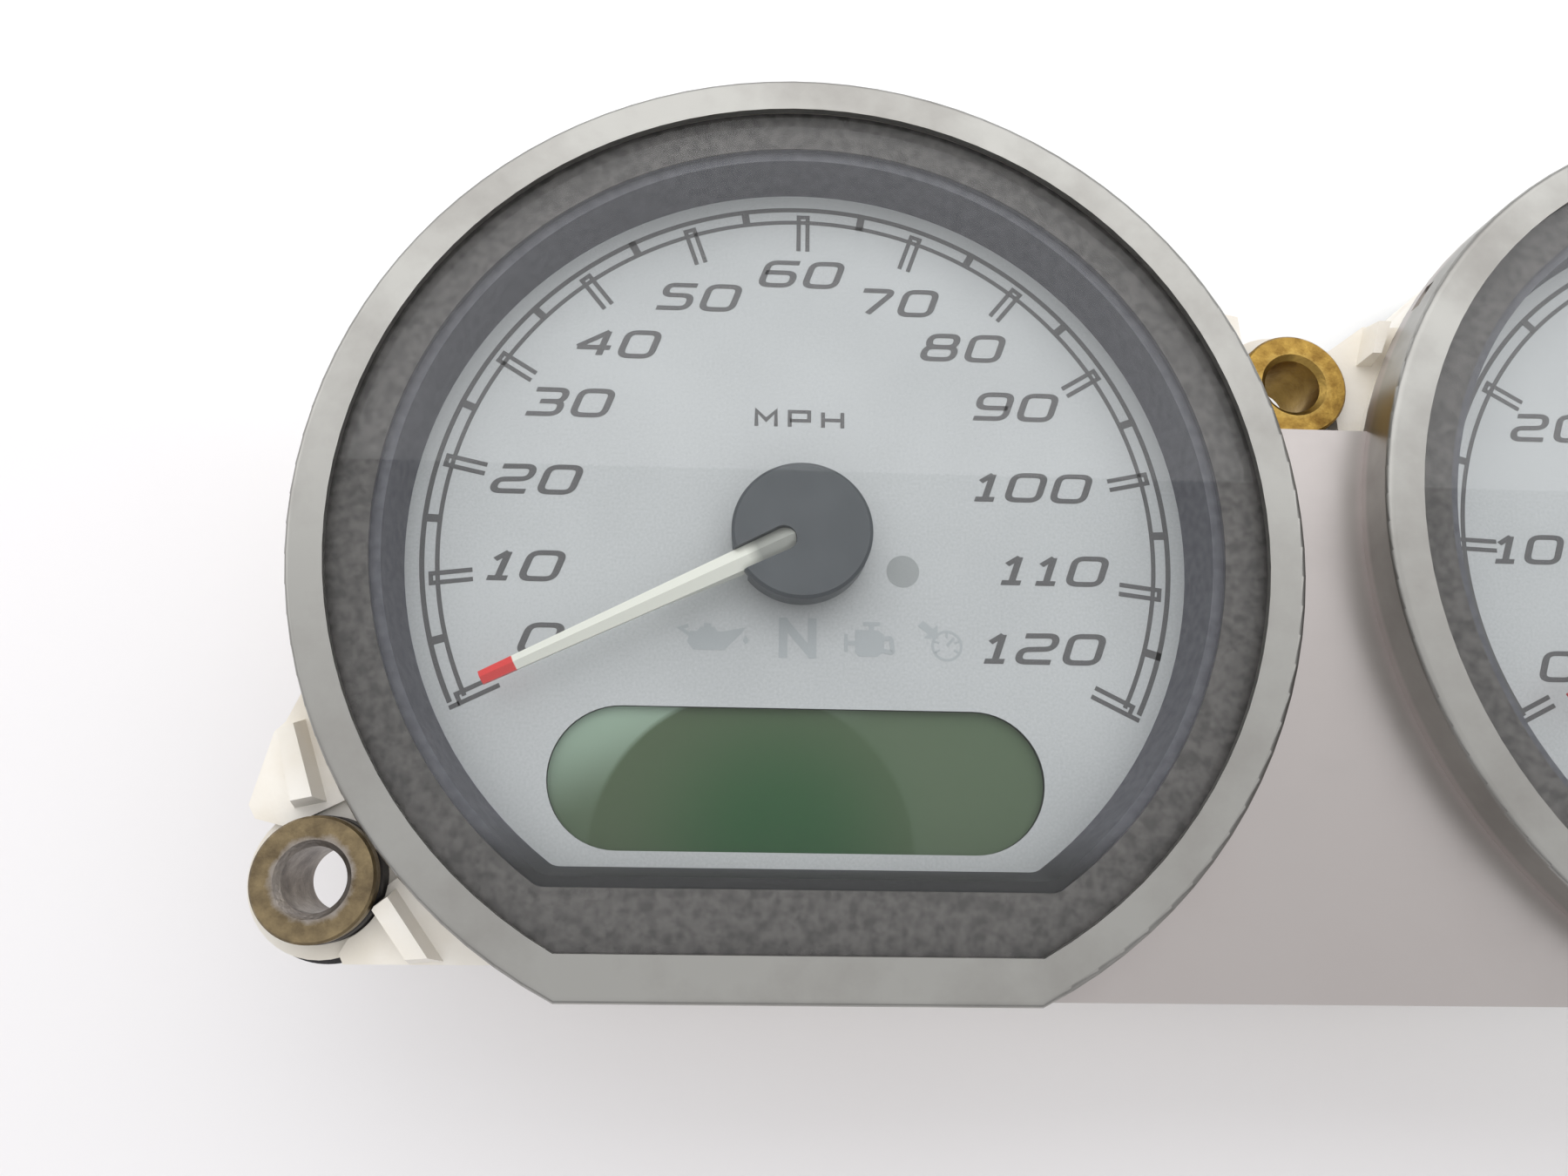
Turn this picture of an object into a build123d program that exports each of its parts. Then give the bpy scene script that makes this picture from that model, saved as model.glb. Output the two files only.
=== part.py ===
from build123d import *
import os
from math import cos, radians, sin, sqrt

os.makedirs("parts", exist_ok=True)

# Motorcycle instrument cluster: speedometer and tachometer under one stainless trim.
# All sizes are in millimetres. The cluster lies on its back: X runs from the speedometer
# to the tachometer, Y towards the top of the dials, Z out of the dials.

# trim
bezel_r = 53.8
flat_cut = 5.4
bezel_gap = 9.4
bezel_face = 4.0
bezel_face_flat = 4.6
sheet = 0.8
shoulder_r = 0.7
plate_drop = 5.5
bezel_height = 8.8
edge_lip = 1.3
hook_slot_w = 4.0
hook_slot_h = 1.5
hook_low = 1.4
hook_play = 0.15
hook_angles = (92, 190, 35)

# heights, from the resting plane
dial_z = 30.0
board_z = 9.0
board_t = 1.6
deck_t = 2.0
guide_t = 3.2
dial_t = 0.8
cover_t = 2.5
seal_t = 0.5

# walls and clearances
trim_clear = 0.4
wall = 2.0
fit = 0.2
gap = 0.1
recess = 0.4
lens_t = 1.2
lens_corner = 1.0
lens_seal_t = 0.5

# mask ring in each gauge
mask_lip = 4.1
mask_lip_flat = 6.1
mask_step = 1.1
mask_step_h = 0.7
mask_slope = 1.9
mask_wall = 1.5
mask_corner = 2.0

# pointers
scale_sweep = 233.3
hub_r = 7.7
hub_top = 5.3
hub_h = 3.2
blade_gap = 6.4
blade_low = 3.9
blade_edge = 0.55
blade_ridge = 1.3
blade_w_root = 2.7
blade_w_tip = 1.45
blade_start = 0.9
slot_fit = 0.05
carrier_t = 1.3
carrier_flange_t = 0.6
carrier_boss_r = 3.0
carrier_reach = 17.5
carrier_w = 3.4
carrier_w_end = 1.5
cap_skin = 1.0
spindle_r = 0.6
spindle_clear = 0.03

# display
lcd_w = 53.4
lcd_h = 15.3
lcd_margin = 1.65
lcd_rim = 3.2
lcd_t = 2.2
lcd_pins_per_side = 14
lcd_pin_pitch = 3.6
lcd_pin_inset = 1.6
lcd_ledge = 2.4

# telltales, left to right, as offsets from the dial centre
telltale_x = (-9.5, -0.2, 7.9, 15.7)
telltale_y = -11.0
telltale_cell = 7.0
telltale_wall = 0.6
lamp_x = 11.6
lamp_y = -3.1
lamp_cell = 4.4
shroud_rim = 2.0
flex_t = 0.3

# movements
can_r = 11.0
can_t = 0.6
bobbin = 13.0
coil_t = 1.0
coil_w = 2.8
coil_in = 2.6
magnet_r = 4.6
magnet_h = 4.2
magnet_gap = 0.6
neck_r = 2.4
neck_clear = 1.6
terminal_w = 0.6
terminal_inset = 1.1

# mounting points
sleeve_bore_r = 3.3
sleeve_r = 4.7
sleeve_flange_r = 6.3
sleeve_flange_t = 1.5
sleeve_len = 9.9
sleeve_chamfer = 0.6
groove_r = 6.0
groove_w = 3.0
rubber_top_r = 6.4
rubber_low_r = 8.6
lug_r = 8.0
ear_reach = 8.7
ear_angle = 217.5
ear_top = 4.1
top_reach = 9.5
top_top = 0.8
rib_top = 3.3

# fasteners
post_r = 3.4
pilot_r = 1.5
shank_r = 1.45
head_r = 2.8
head_h = 1.8
screw_len = 10.0
cross_w = 3.2
cross_t = 0.7
cross_deep = 1.0

# harness socket
socket_w = 28.0
socket_h = 12.0
socket_wall = 1.2
socket_floor = 1.6
socket_y = -22.0
pin_w = 0.64
pin_pitch = 3.8
pin_row = 4.2
pins_per_row = 6
pin_low = 5.0
key_w = 3.0
key_t = 1.0

# rear cover
vent_x = 26.0
vent_r = 4.0
vent_flange_t = 0.8
vent_hole_r = 0.5
rear_grooves = (30.0, 14.0)
rear_groove_w = 1.6
rear_groove_deep = 0.6

# lamps and parts on the board
led_w = 3.4
led_h = 2.8
led_t = 1.2
dome_r = 1.1
dome_h = 0.5
small_led = (1.8, 1.2, 0.7)
chip_w = 9.0
chip_t = 1.3
chip_pitch = 0.8
chip_leads = 10
driver_size = (9.9, 3.9, 1.4)
driver_pitch = 1.27
driver_leads = 7
lead_t = 0.3
lead_len = 1.4
capacitor_r = 3.2
capacitor_h = 8.0
regulator_size = (10.0, 9.0, 4.4)

# worked out from the sizes above
bezel_flat = bezel_r - flat_cut
opening_r = bezel_r - bezel_face
opening_flat = bezel_flat - bezel_face_flat
spacing = 2 * bezel_r + bezel_gap
speedo_x = -spacing / 2
tach_x = spacing / 2
dial_y = (bezel_flat - bezel_r) / 2
centres = ((speedo_x, dial_y), (tach_x, dial_y))
gauges = (("speedo", speedo_x), ("tach", tach_x))

bezel_top = dial_z + bezel_height
plate_top = bezel_top - plate_drop
plate_z = plate_top - sheet
lens_z = bezel_top - sheet - lens_t
rim_z = lens_z - lens_seal_t
mask_top = lens_z - gap
shell_r = bezel_r - sheet - trim_clear
shell_flat = bezel_flat - sheet - trim_clear
inner_r = shell_r - wall
inner_flat = shell_flat - wall
guide_z = dial_z - dial_t - guide_t
deck_z = guide_z - deck_t
board_top = board_z + board_t
wall_z = cover_t + seal_t
post_z = cover_t + 2.0
web_roof = plate_z - gap

mask_r = inner_r - fit
mask_flat = inner_flat - fit
lip_r = opening_r - mask_lip
lip_flat = opening_flat - mask_lip_flat
foot_r = lip_r - mask_slope
foot_flat = lip_flat - mask_slope - gap

top_mount_y = sqrt((shell_r + top_reach) ** 2 - (spacing / 2) ** 2)
plate_edge_y = top_mount_y - sleeve_flange_r - 0.4
web_top_y = top_mount_y - rubber_low_r - 0.5
ear_r = shell_r + ear_reach
ear_x = ear_r * cos(radians(ear_angle))
ear_y = ear_r * sin(radians(ear_angle))
lcd_y = -(foot_flat - lcd_margin - lcd_h / 2)
rest_angle = 90 + scale_sweep / 2
telltale_mid = (telltale_x[0] + telltale_x[-1]) / 2
telltale_span = telltale_x[-1] - telltale_x[0] + telltale_cell + 2 * shroud_rim
mounts = (
    ("left", speedo_x + ear_x, dial_y + ear_y, dial_z + ear_top),
    ("right", tach_x - ear_x, dial_y + ear_y, dial_z + ear_top),
    ("top", 0.0, dial_y + top_mount_y, dial_z + top_top),
)

# screw and lamp places, as offsets from a dial centre
cover_screw_at = [(0.875 * shell_r * cos(radians(a)), 0.875 * shell_r * sin(radians(a)))
                  for a in (45, 135, 212, 328)]
board_screw_at = [(30 * cos(radians(a)), 30 * sin(radians(a))) for a in (90, 200, 340)]
dial_led_at = [(36 * cos(radians(a)), 36 * sin(radians(a))) for a in (0, 32, 62, 118, 148, 180)]


def dee(radius, flat, corner=0.0):
    """Circle cut off along a level chord below its centre."""
    half = sqrt(radius**2 - flat**2)
    with BuildSketch() as profile:
        with BuildLine():
            ThreePointArc((-half, -flat), (0, radius), (half, -flat))
            Line((half, -flat), (-half, -flat))
        make_face()
        if corner > 0:
            fillet(profile.vertices(), corner)
    return profile.sketch


def outline(radius, flat, top):
    """Both gauges and the web between them, in the part frame."""
    with BuildSketch() as profile:
        with Locations(*centres):
            add(dee(radius, flat))
        with Locations((0, dial_y + (top - flat) / 2)):
            Rectangle(spacing, top + flat)
    return profile.sketch


def ring(outer, inner):
    """The first profile with the second cut out of it."""
    with BuildSketch() as profile:
        add(outer)
        add(inner, mode=Mode.SUBTRACT)
    return profile.sketch


def polar_plane(x, angle, radius, z):
    """Plane whose X runs outwards from a gauge centre along an angle."""
    a = radians(angle)
    origin = (x + radius * cos(a), dial_y + radius * sin(a), z)
    return Plane(origin=origin, x_dir=(cos(a), sin(a), 0), z_dir=(0, 0, 1))


# ---- front trim: one stainless stamping with two raised bezels and the plate between them

with BuildPart() as front_trim:
    with BuildSketch(Plane.XY.offset(plate_z)):
        with Locations(*centres):
            add(dee(bezel_r, bezel_flat))
    extrude(amount=bezel_top - plate_z)
    fillet(front_trim.edges().group_by(Axis.Z)[-1], shoulder_r)
    with BuildSketch(Plane.XY.offset(plate_z)):
        with Locations((0, dial_y + (plate_edge_y - bezel_flat) / 2)):
            Rectangle(spacing, plate_edge_y + bezel_flat)
    extrude(amount=sheet)
    # edges of the plate turned down
    with BuildSketch(Plane.XY.offset(plate_z - edge_lip)):
        with Locations((0, dial_y + plate_edge_y - sheet / 2)):
            Rectangle(2 * (spacing / 2 - sqrt(bezel_r**2 - plate_edge_y**2)), sheet)
        with Locations((0, dial_y - bezel_flat + sheet / 2)):
            Rectangle(spacing + 2 * sqrt(bezel_r**2 - bezel_flat**2) - 1, sheet)
    extrude(amount=edge_lip)
    with BuildSketch(Plane.XY.offset(plate_z)):
        with Locations(*centres):
            add(dee(bezel_r - sheet, bezel_flat - sheet))
    extrude(amount=bezel_top - sheet - plate_z, mode=Mode.SUBTRACT)
    with BuildSketch(Plane.XY.offset(bezel_top - sheet)):
        with Locations(*centres):
            add(dee(opening_r, opening_flat))
    extrude(amount=sheet, mode=Mode.SUBTRACT)
    # slots in the skirts that snap over the housing's hooks
    for side, x in ((1, speedo_x), (-1, tach_x)):
        for angle in hook_angles:
            turned = angle if side > 0 else 180 - angle
            with BuildSketch(polar_plane(x, turned, bezel_r, plate_z + hook_low)):
                Rectangle(4 * sheet, hook_slot_w)
            extrude(amount=hook_slot_h, mode=Mode.SUBTRACT)
front_trim.part.label = "front_trim"
export_step(front_trim.part, "parts/front_trim.step")


# ---- lower corner ear: lug, gussets and ribs, in the part frame, made once and mirrored

ear_lug_top = dial_z + ear_top - sleeve_flange_t - (sleeve_len - sleeve_flange_t - groove_w) / 2
ear_plane = polar_plane(speedo_x, ear_angle, ear_r, ear_lug_top - groove_w)
ear_base_h = dial_z + 0.8 - ear_plane.origin.Z
upper_gusset = ((-14, -19), (-8.6, -18.1), (-5.3, -16.2), (-3.8, -16.0), (2.2, -11.0), (2.4, -9.4),
                (0.2, -6.7), (-14, -4))
lower_gusset = ((-14, 4), (-3.1, 4.5), (2.6, 7.2), (2.8, 8.3), (-9.3, 17.5), (-14, 20))
upper_rib = ((-4.4, -15.9), (-1.4, -7.9), (-4.4, -6.5), (-7.1, -15.2))
lower_rib = ((-2.4, 5.2), (-2.5, 12.2), (-5.4, 14.1), (-5.4, 5.2))

with BuildPart() as ear:
    with BuildSketch(ear_plane):
        Polygon(*upper_gusset, align=None)
        Polygon(*lower_gusset, align=None)
    extrude(amount=ear_base_h)
    with BuildSketch(ear_plane.offset(ear_base_h)):
        Polygon(*upper_rib, align=None)
        Polygon(*lower_rib, align=None)
    extrude(amount=rib_top - 0.8, taper=12)
    with BuildSketch(ear_plane.offset(groove_w)):
        Circle(rubber_top_r + fit)
    extrude(amount=ear_base_h, mode=Mode.SUBTRACT)
    with BuildSketch(ear_plane):
        Circle(lug_r)
        with Locations((-ear_reach - wall / 2, 0)):
            Rectangle(2 * ear_reach, 1.5 * lug_r)
    extrude(amount=groove_w)
    with BuildSketch(ear_plane):
        Circle(groove_r)
    extrude(amount=groove_w, mode=Mode.SUBTRACT)

# ---- top mount between the gauges

top_lug_top = dial_z + top_top - sleeve_flange_t - (sleeve_len - sleeve_flange_t - groove_w) / 2
top_plane = Plane((0, dial_y + top_mount_y, top_lug_top - groove_w))
top_base_h = dial_z - 1.2 - top_plane.origin.Z
left_gusset = ((-5.6, 3.6), (-6.1, 8.4), (-9.0, 9.4), (-24, 9.4), (-24, -9), (-6, -9))
right_gusset = ((5.4, 5.2), (10.3, 8.8), (24, 9.0), (24, -9), (6, -9))
left_rib = ((-5.9, 3.9), (-6.2, 8.4), (-9.3, 9.0), (-8.2, 3.4))
right_rib = ((8.9, 3.6), (10.8, 3.6), (12.8, 8.6), (10.4, 8.6))

with BuildPart() as top_ear:
    with BuildSketch(top_plane):
        Polygon(*left_gusset, align=None)
        Polygon(*right_gusset, align=None)
    extrude(amount=top_base_h)
    with BuildSketch(top_plane.offset(top_base_h)):
        Polygon(*left_rib, align=None)
        Polygon(*right_rib, align=None)
    extrude(amount=rib_top - 0.4, taper=8)
    with BuildSketch(top_plane.offset(groove_w)):
        Circle(rubber_top_r + fit)
    extrude(amount=top_base_h + rib_top, mode=Mode.SUBTRACT)
    with BuildSketch(top_plane):
        Circle(lug_r)
        with Locations((0, -rubber_low_r)):
            Rectangle(2 * lug_r, 2 * rubber_low_r)
    extrude(amount=groove_w)
    with BuildSketch(top_plane):
        Circle(groove_r)
    extrude(amount=groove_w, mode=Mode.SUBTRACT)

# ---- main housing: white moulding with two cups, a deck for the dials, posts and the ears

with BuildPart() as main_housing:
    with BuildSketch(Plane.XY.offset(wall_z)):
        add(outline(shell_r, shell_flat, web_top_y))
    extrude(amount=web_roof - wall_z)
    with BuildSketch(Plane.XY.offset(web_roof)):
        with Locations(*centres):
            add(dee(shell_r, shell_flat))
    extrude(amount=rim_z - web_roof)
    add(ear.part)
    mirror(ear.part, about=Plane.YZ)
    add(top_ear.part)
    # room under the deck, under the web's roof and above the deck
    with BuildSketch(Plane.XY.offset(wall_z)):
        add(outline(inner_r, inner_flat, web_top_y - wall))
    extrude(amount=deck_z - wall_z, mode=Mode.SUBTRACT)
    with BuildSketch(Plane.XY.offset(deck_z)):
        with Locations((0, dial_y + (web_top_y - wall - inner_flat) / 2)):
            Rectangle(spacing, web_top_y - wall + inner_flat)
        with Locations(*centres):
            add(dee(shell_r, shell_flat), mode=Mode.SUBTRACT)
    extrude(amount=web_roof - wall - deck_z, mode=Mode.SUBTRACT)
    with BuildSketch(Plane.XY.offset(guide_z)):
        with Locations(*centres):
            add(dee(inner_r, inner_flat))
    extrude(amount=rim_z - guide_z, mode=Mode.SUBTRACT)
    # holes in the deck for the movement necks, the dial lamps and the display
    with BuildSketch(Plane.XY.offset(deck_z)):
        with Locations(*centres):
            Circle(neck_r + neck_clear)
        for x, y in centres:
            with Locations((x, y)):
                with Locations(*dial_led_at):
                    Circle(3.0)
        with Locations((speedo_x, dial_y + lcd_y)):
            Rectangle(lcd_w + 4, lcd_h + 6.6)
    extrude(amount=deck_t, mode=Mode.SUBTRACT)
    # posts for the board and for the rear cover
    with BuildSketch(Plane.XY.offset(board_top)):
        for x, y in centres:
            with Locations((x, y)):
                with Locations(*board_screw_at):
                    Circle(post_r)
    extrude(amount=deck_z - board_top)
    with BuildSketch(Plane.XY.offset(post_z)):
        for x, y in centres:
            with Locations((x, y)):
                with Locations(*cover_screw_at):
                    Circle(post_r)
    extrude(amount=deck_z - post_z)
    with BuildSketch(Plane.XY.offset(post_z)):
        for x, y in centres:
            with Locations((x, y)):
                with Locations(*cover_screw_at, *board_screw_at):
                    Circle(pilot_r)
    extrude(amount=deck_z - post_z, mode=Mode.SUBTRACT)
    # hooks that the trim snaps over
    for side, x in ((1, speedo_x), (-1, tach_x)):
        for angle in hook_angles:
            turned = angle if side > 0 else 180 - angle
            with BuildSketch(polar_plane(x, turned, shell_r, plate_z + hook_low + hook_play)):
                Rectangle(2 * trim_clear + sheet, hook_slot_w - 4 * hook_play)
            extrude(amount=hook_slot_h - 2 * hook_play)
main_housing.part.label = "main_housing"
export_step(main_housing.part, "parts/main_housing.step")


# ---- rear cover, its seal and the vent

cover_lip = outline(inner_r - fit, inner_flat - fit, web_top_y - wall - fit)
cover_lip_inner = outline(inner_r - fit - wall, inner_flat - fit - wall, web_top_y - 2 * wall - fit)

with BuildPart() as rear_cover:
    with BuildSketch():
        add(outline(shell_r, shell_flat, web_top_y))
    extrude(amount=cover_t)
    chamfer(rear_cover.edges().group_by(Axis.Z)[0], 0.8)
    with BuildSketch(Plane.XY.offset(cover_t)):
        add(ring(cover_lip, cover_lip_inner))
    extrude(amount=post_z - cover_t - gap)
    with BuildSketch(Plane.XY.offset(cover_t)):
        for x, y in centres:
            with Locations((x, y)):
                with Locations(*cover_screw_at):
                    Circle(post_r + 1.0)
    extrude(amount=post_z - cover_t)
    # sunk panel behind each gauge and long ribs across it
    for x, y in centres:
        with BuildSketch():
            with Locations((x, y)):
                for groove in rear_grooves:
                    Circle(groove)
                    Circle(groove - rear_groove_w, mode=Mode.SUBTRACT)
        extrude(amount=rear_groove_deep, mode=Mode.SUBTRACT)
    with BuildSketch():
        for x, y in centres:
            with Locations((x, y)):
                with Locations(*cover_screw_at):
                    Circle(head_r + 0.5)
    extrude(amount=head_h + recess, mode=Mode.SUBTRACT)
    with BuildSketch():
        for x, y in centres:
            with Locations((x, y)):
                with Locations(*cover_screw_at):
                    Circle(pilot_r + fit)
        with Locations((0, dial_y + socket_y)):
            RectangleRounded(socket_w + 4 * fit, socket_h + 4 * fit, 1.0)
        with Locations((vent_x, dial_y)):
            Circle(vent_r)
    extrude(amount=post_z, mode=Mode.SUBTRACT)
rear_cover.part.label = "rear_cover"
export_step(rear_cover.part, "parts/rear_cover.step")

with BuildPart() as cover_seal:
    with BuildSketch(Plane.XY.offset(cover_t)):
        seal_outer = outline(shell_r - fit, shell_flat - fit, web_top_y - fit)
        add(ring(seal_outer, outline(inner_r, inner_flat, web_top_y - wall)))
    extrude(amount=seal_t)
cover_seal.part.label = "cover_seal"
export_step(cover_seal.part, "parts/cover_seal.step")

with BuildPart() as vent_plug:
    with BuildSketch(Plane.XY.offset(recess)):
        with Locations((vent_x, dial_y)):
            Circle(vent_r)
    extrude(amount=cover_t - recess)
    with BuildSketch(Plane.XY.offset(cover_t)):
        with Locations((vent_x, dial_y)):
            Circle(vent_r + 1)
    extrude(amount=vent_flange_t)
    with BuildSketch(Plane.XY.offset(recess)):
        with Locations((vent_x, dial_y)):
            with PolarLocations(vent_r / 2, 6):
                Circle(vent_hole_r)
    extrude(amount=cover_t - recess + vent_flange_t, mode=Mode.SUBTRACT)
vent_plug.part.label = "vent_plug"
export_step(vent_plug.part, "parts/vent_plug.step")


# ---- mounting sleeves and rubber grommets

for name, x, y, top in mounts:
    with BuildPart() as sleeve:
        with BuildSketch(Plane((x, y, top - sleeve_len))):
            Circle(sleeve_r)
        extrude(amount=sleeve_len)
        with BuildSketch(Plane((x, y, top - sleeve_flange_t))):
            Circle(sleeve_flange_r)
        extrude(amount=sleeve_flange_t)
        chamfer(sleeve.edges().group_by(Axis.Z)[-1], 0.25)
        with BuildSketch(Plane((x, y, top - sleeve_len))):
            Circle(sleeve_bore_r)
        extrude(amount=sleeve_len, mode=Mode.SUBTRACT)
        bore_rim = sleeve.edges().group_by(Axis.Z)[-1].sort_by(SortBy.RADIUS)[0]
        chamfer(bore_rim, sleeve_chamfer)
    sleeve.part.label = f"{name}_sleeve"
    export_step(sleeve.part, f"parts/{name}_sleeve.step")

    rubber_h = sleeve_len - sleeve_flange_t
    lip_h = (rubber_h - groove_w) / 2
    with BuildPart() as grommet:
        with BuildSketch(Plane((x, y, top - sleeve_len))):
            Circle(rubber_low_r)
        extrude(amount=lip_h)
        with BuildSketch(Plane((x, y, top - sleeve_len + lip_h))):
            Circle(groove_r)
        extrude(amount=groove_w)
        with BuildSketch(Plane((x, y, top - sleeve_len + lip_h + groove_w))):
            Circle(rubber_top_r)
        extrude(amount=lip_h)
        fillet(grommet.edges().group_by(Axis.Z)[0], 0.8)
        fillet(grommet.edges().group_by(Axis.Z)[-1], 0.6)
        with BuildSketch(Plane((x, y, top - sleeve_len))):
            Circle(sleeve_r)
        extrude(amount=rubber_h, mode=Mode.SUBTRACT)
    grommet.part.label = f"{name}_grommet"
    export_step(grommet.part, f"parts/{name}_grommet.step")


# ---- lens, seal, mask ring, dial and light guide of each gauge

for gauge, x in gauges:
    at = (x, dial_y)

    with BuildPart() as lens:
        with BuildSketch(Plane.XY.offset(lens_z)):
            with Locations(at):
                add(dee(shell_r - fit, shell_flat - fit, lens_corner))
        extrude(amount=lens_t)
    lens.part.label = f"{gauge}_lens"
    export_step(lens.part, f"parts/{gauge}_lens.step")

    with BuildPart() as lens_seal:
        with BuildSketch(Plane.XY.offset(rim_z)):
            with Locations(at):
                add(ring(dee(shell_r - fit, shell_flat - fit, lens_corner), dee(inner_r + fit, inner_flat + fit)))
        extrude(amount=lens_seal_t)
    lens_seal.part.label = f"{gauge}_lens_seal"
    export_step(lens_seal.part, f"parts/{gauge}_lens_seal.step")

    with BuildPart() as mask_ring:
        with BuildSketch(Plane.XY.offset(dial_z)):
            with Locations(at):
                add(dee(mask_r, mask_flat))
        extrude(amount=mask_top - dial_z)
        # sloping inner wall under a narrow step
        with BuildSketch(Plane.XY.offset(dial_z)):
            with Locations(at):
                add(dee(foot_r, foot_flat, mask_corner))
        with BuildSketch(Plane.XY.offset(mask_top - mask_step_h)):
            with Locations(at):
                add(dee(lip_r - mask_step, lip_flat - mask_step, mask_corner))
        loft(mode=Mode.SUBTRACT)
        with BuildSketch(Plane.XY.offset(mask_top - mask_step_h)):
            with Locations(at):
                add(dee(lip_r, lip_flat, mask_corner))
        extrude(amount=mask_step_h, mode=Mode.SUBTRACT)
        # hollow back of the moulding
        with BuildSketch(Plane.XY.offset(dial_z)):
            with Locations(at):
                add(dee(mask_r - mask_wall, mask_flat - mask_wall))
                add(dee(lip_r + fit, lip_flat + 2 * fit), mode=Mode.SUBTRACT)
        extrude(amount=mask_top - dial_z - mask_wall, mode=Mode.SUBTRACT)
    mask_ring.part.label = f"{gauge}_mask_ring"
    export_step(mask_ring.part, f"parts/{gauge}_mask_ring.step")

    with BuildPart() as dial:
        with BuildSketch(Plane.XY.offset(dial_z - dial_t)):
            with Locations(at):
                add(dee(mask_r, mask_flat))
                Circle(spindle_r + 1.0, mode=Mode.SUBTRACT)
            if gauge == "speedo":
                with Locations((x, dial_y + lcd_y)):
                    SlotOverall(lcd_w, lcd_h, mode=Mode.SUBTRACT)
        extrude(amount=dial_t)
    dial.part.label = f"{gauge}_dial"
    export_step(dial.part, f"parts/{gauge}_dial.step")

    with BuildPart() as light_guide:
        with BuildSketch(Plane.XY.offset(guide_z)):
            with Locations(at):
                add(dee(mask_r - 2 * fit, mask_flat - 2 * fit))
                Circle(neck_r + neck_clear, mode=Mode.SUBTRACT)
            if gauge == "speedo":
                with Locations((x, dial_y + lcd_y)):
                    Rectangle(lcd_w + 2 * lcd_rim + 3 * fit, lcd_h + 2 * lcd_rim + 3 * fit, mode=Mode.SUBTRACT)
                with Locations((x + telltale_mid, dial_y + telltale_y)):
                    Rectangle(telltale_span + 4 * fit, telltale_cell + shroud_rim + 4 * fit, mode=Mode.SUBTRACT)
                with Locations((x + lamp_x, dial_y + lamp_y)):
                    Rectangle(lamp_cell + shroud_rim + 4 * fit, lamp_cell + 3 * shroud_rim, mode=Mode.SUBTRACT)
        extrude(amount=guide_t)
    light_guide.part.label = f"{gauge}_light_guide"
    export_step(light_guide.part, f"parts/{gauge}_light_guide.step")

with BuildPart() as dial_leds:
    for x, y in centres:
        with BuildSketch(Plane.XY.offset(board_top)):
            with Locations((x, y)):
                with Locations(*dial_led_at):
                    Rectangle(led_w, led_h)
        extrude(amount=led_t)
        with BuildSketch(Plane.XY.offset(board_top + led_t)):
            with Locations((x, y)):
                with Locations(*dial_led_at):
                    Circle(dome_r)
        extrude(amount=dome_h)
dial_leds.part.label = "dial_leds"
export_step(dial_leds.part, "parts/dial_leds.step")


# ---- air-core movement of each gauge: shield can, bobbin halves, crossed coils, terminals

can_z = board_top
can_top = deck_z - 0.6
bobbin_low = can_z + can_t + gap + 2 * coil_t
bobbin_top = can_top - gap - 2 * coil_t
magnet_mid = (bobbin_low + bobbin_top) / 2
neck_top = guide_z + 1.0
cavity_r = magnet_r + magnet_gap
cavity_h = magnet_h + magnet_gap
hole_r = spindle_r + spindle_clear
spindle_z = bobbin_low + 0.8

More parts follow.
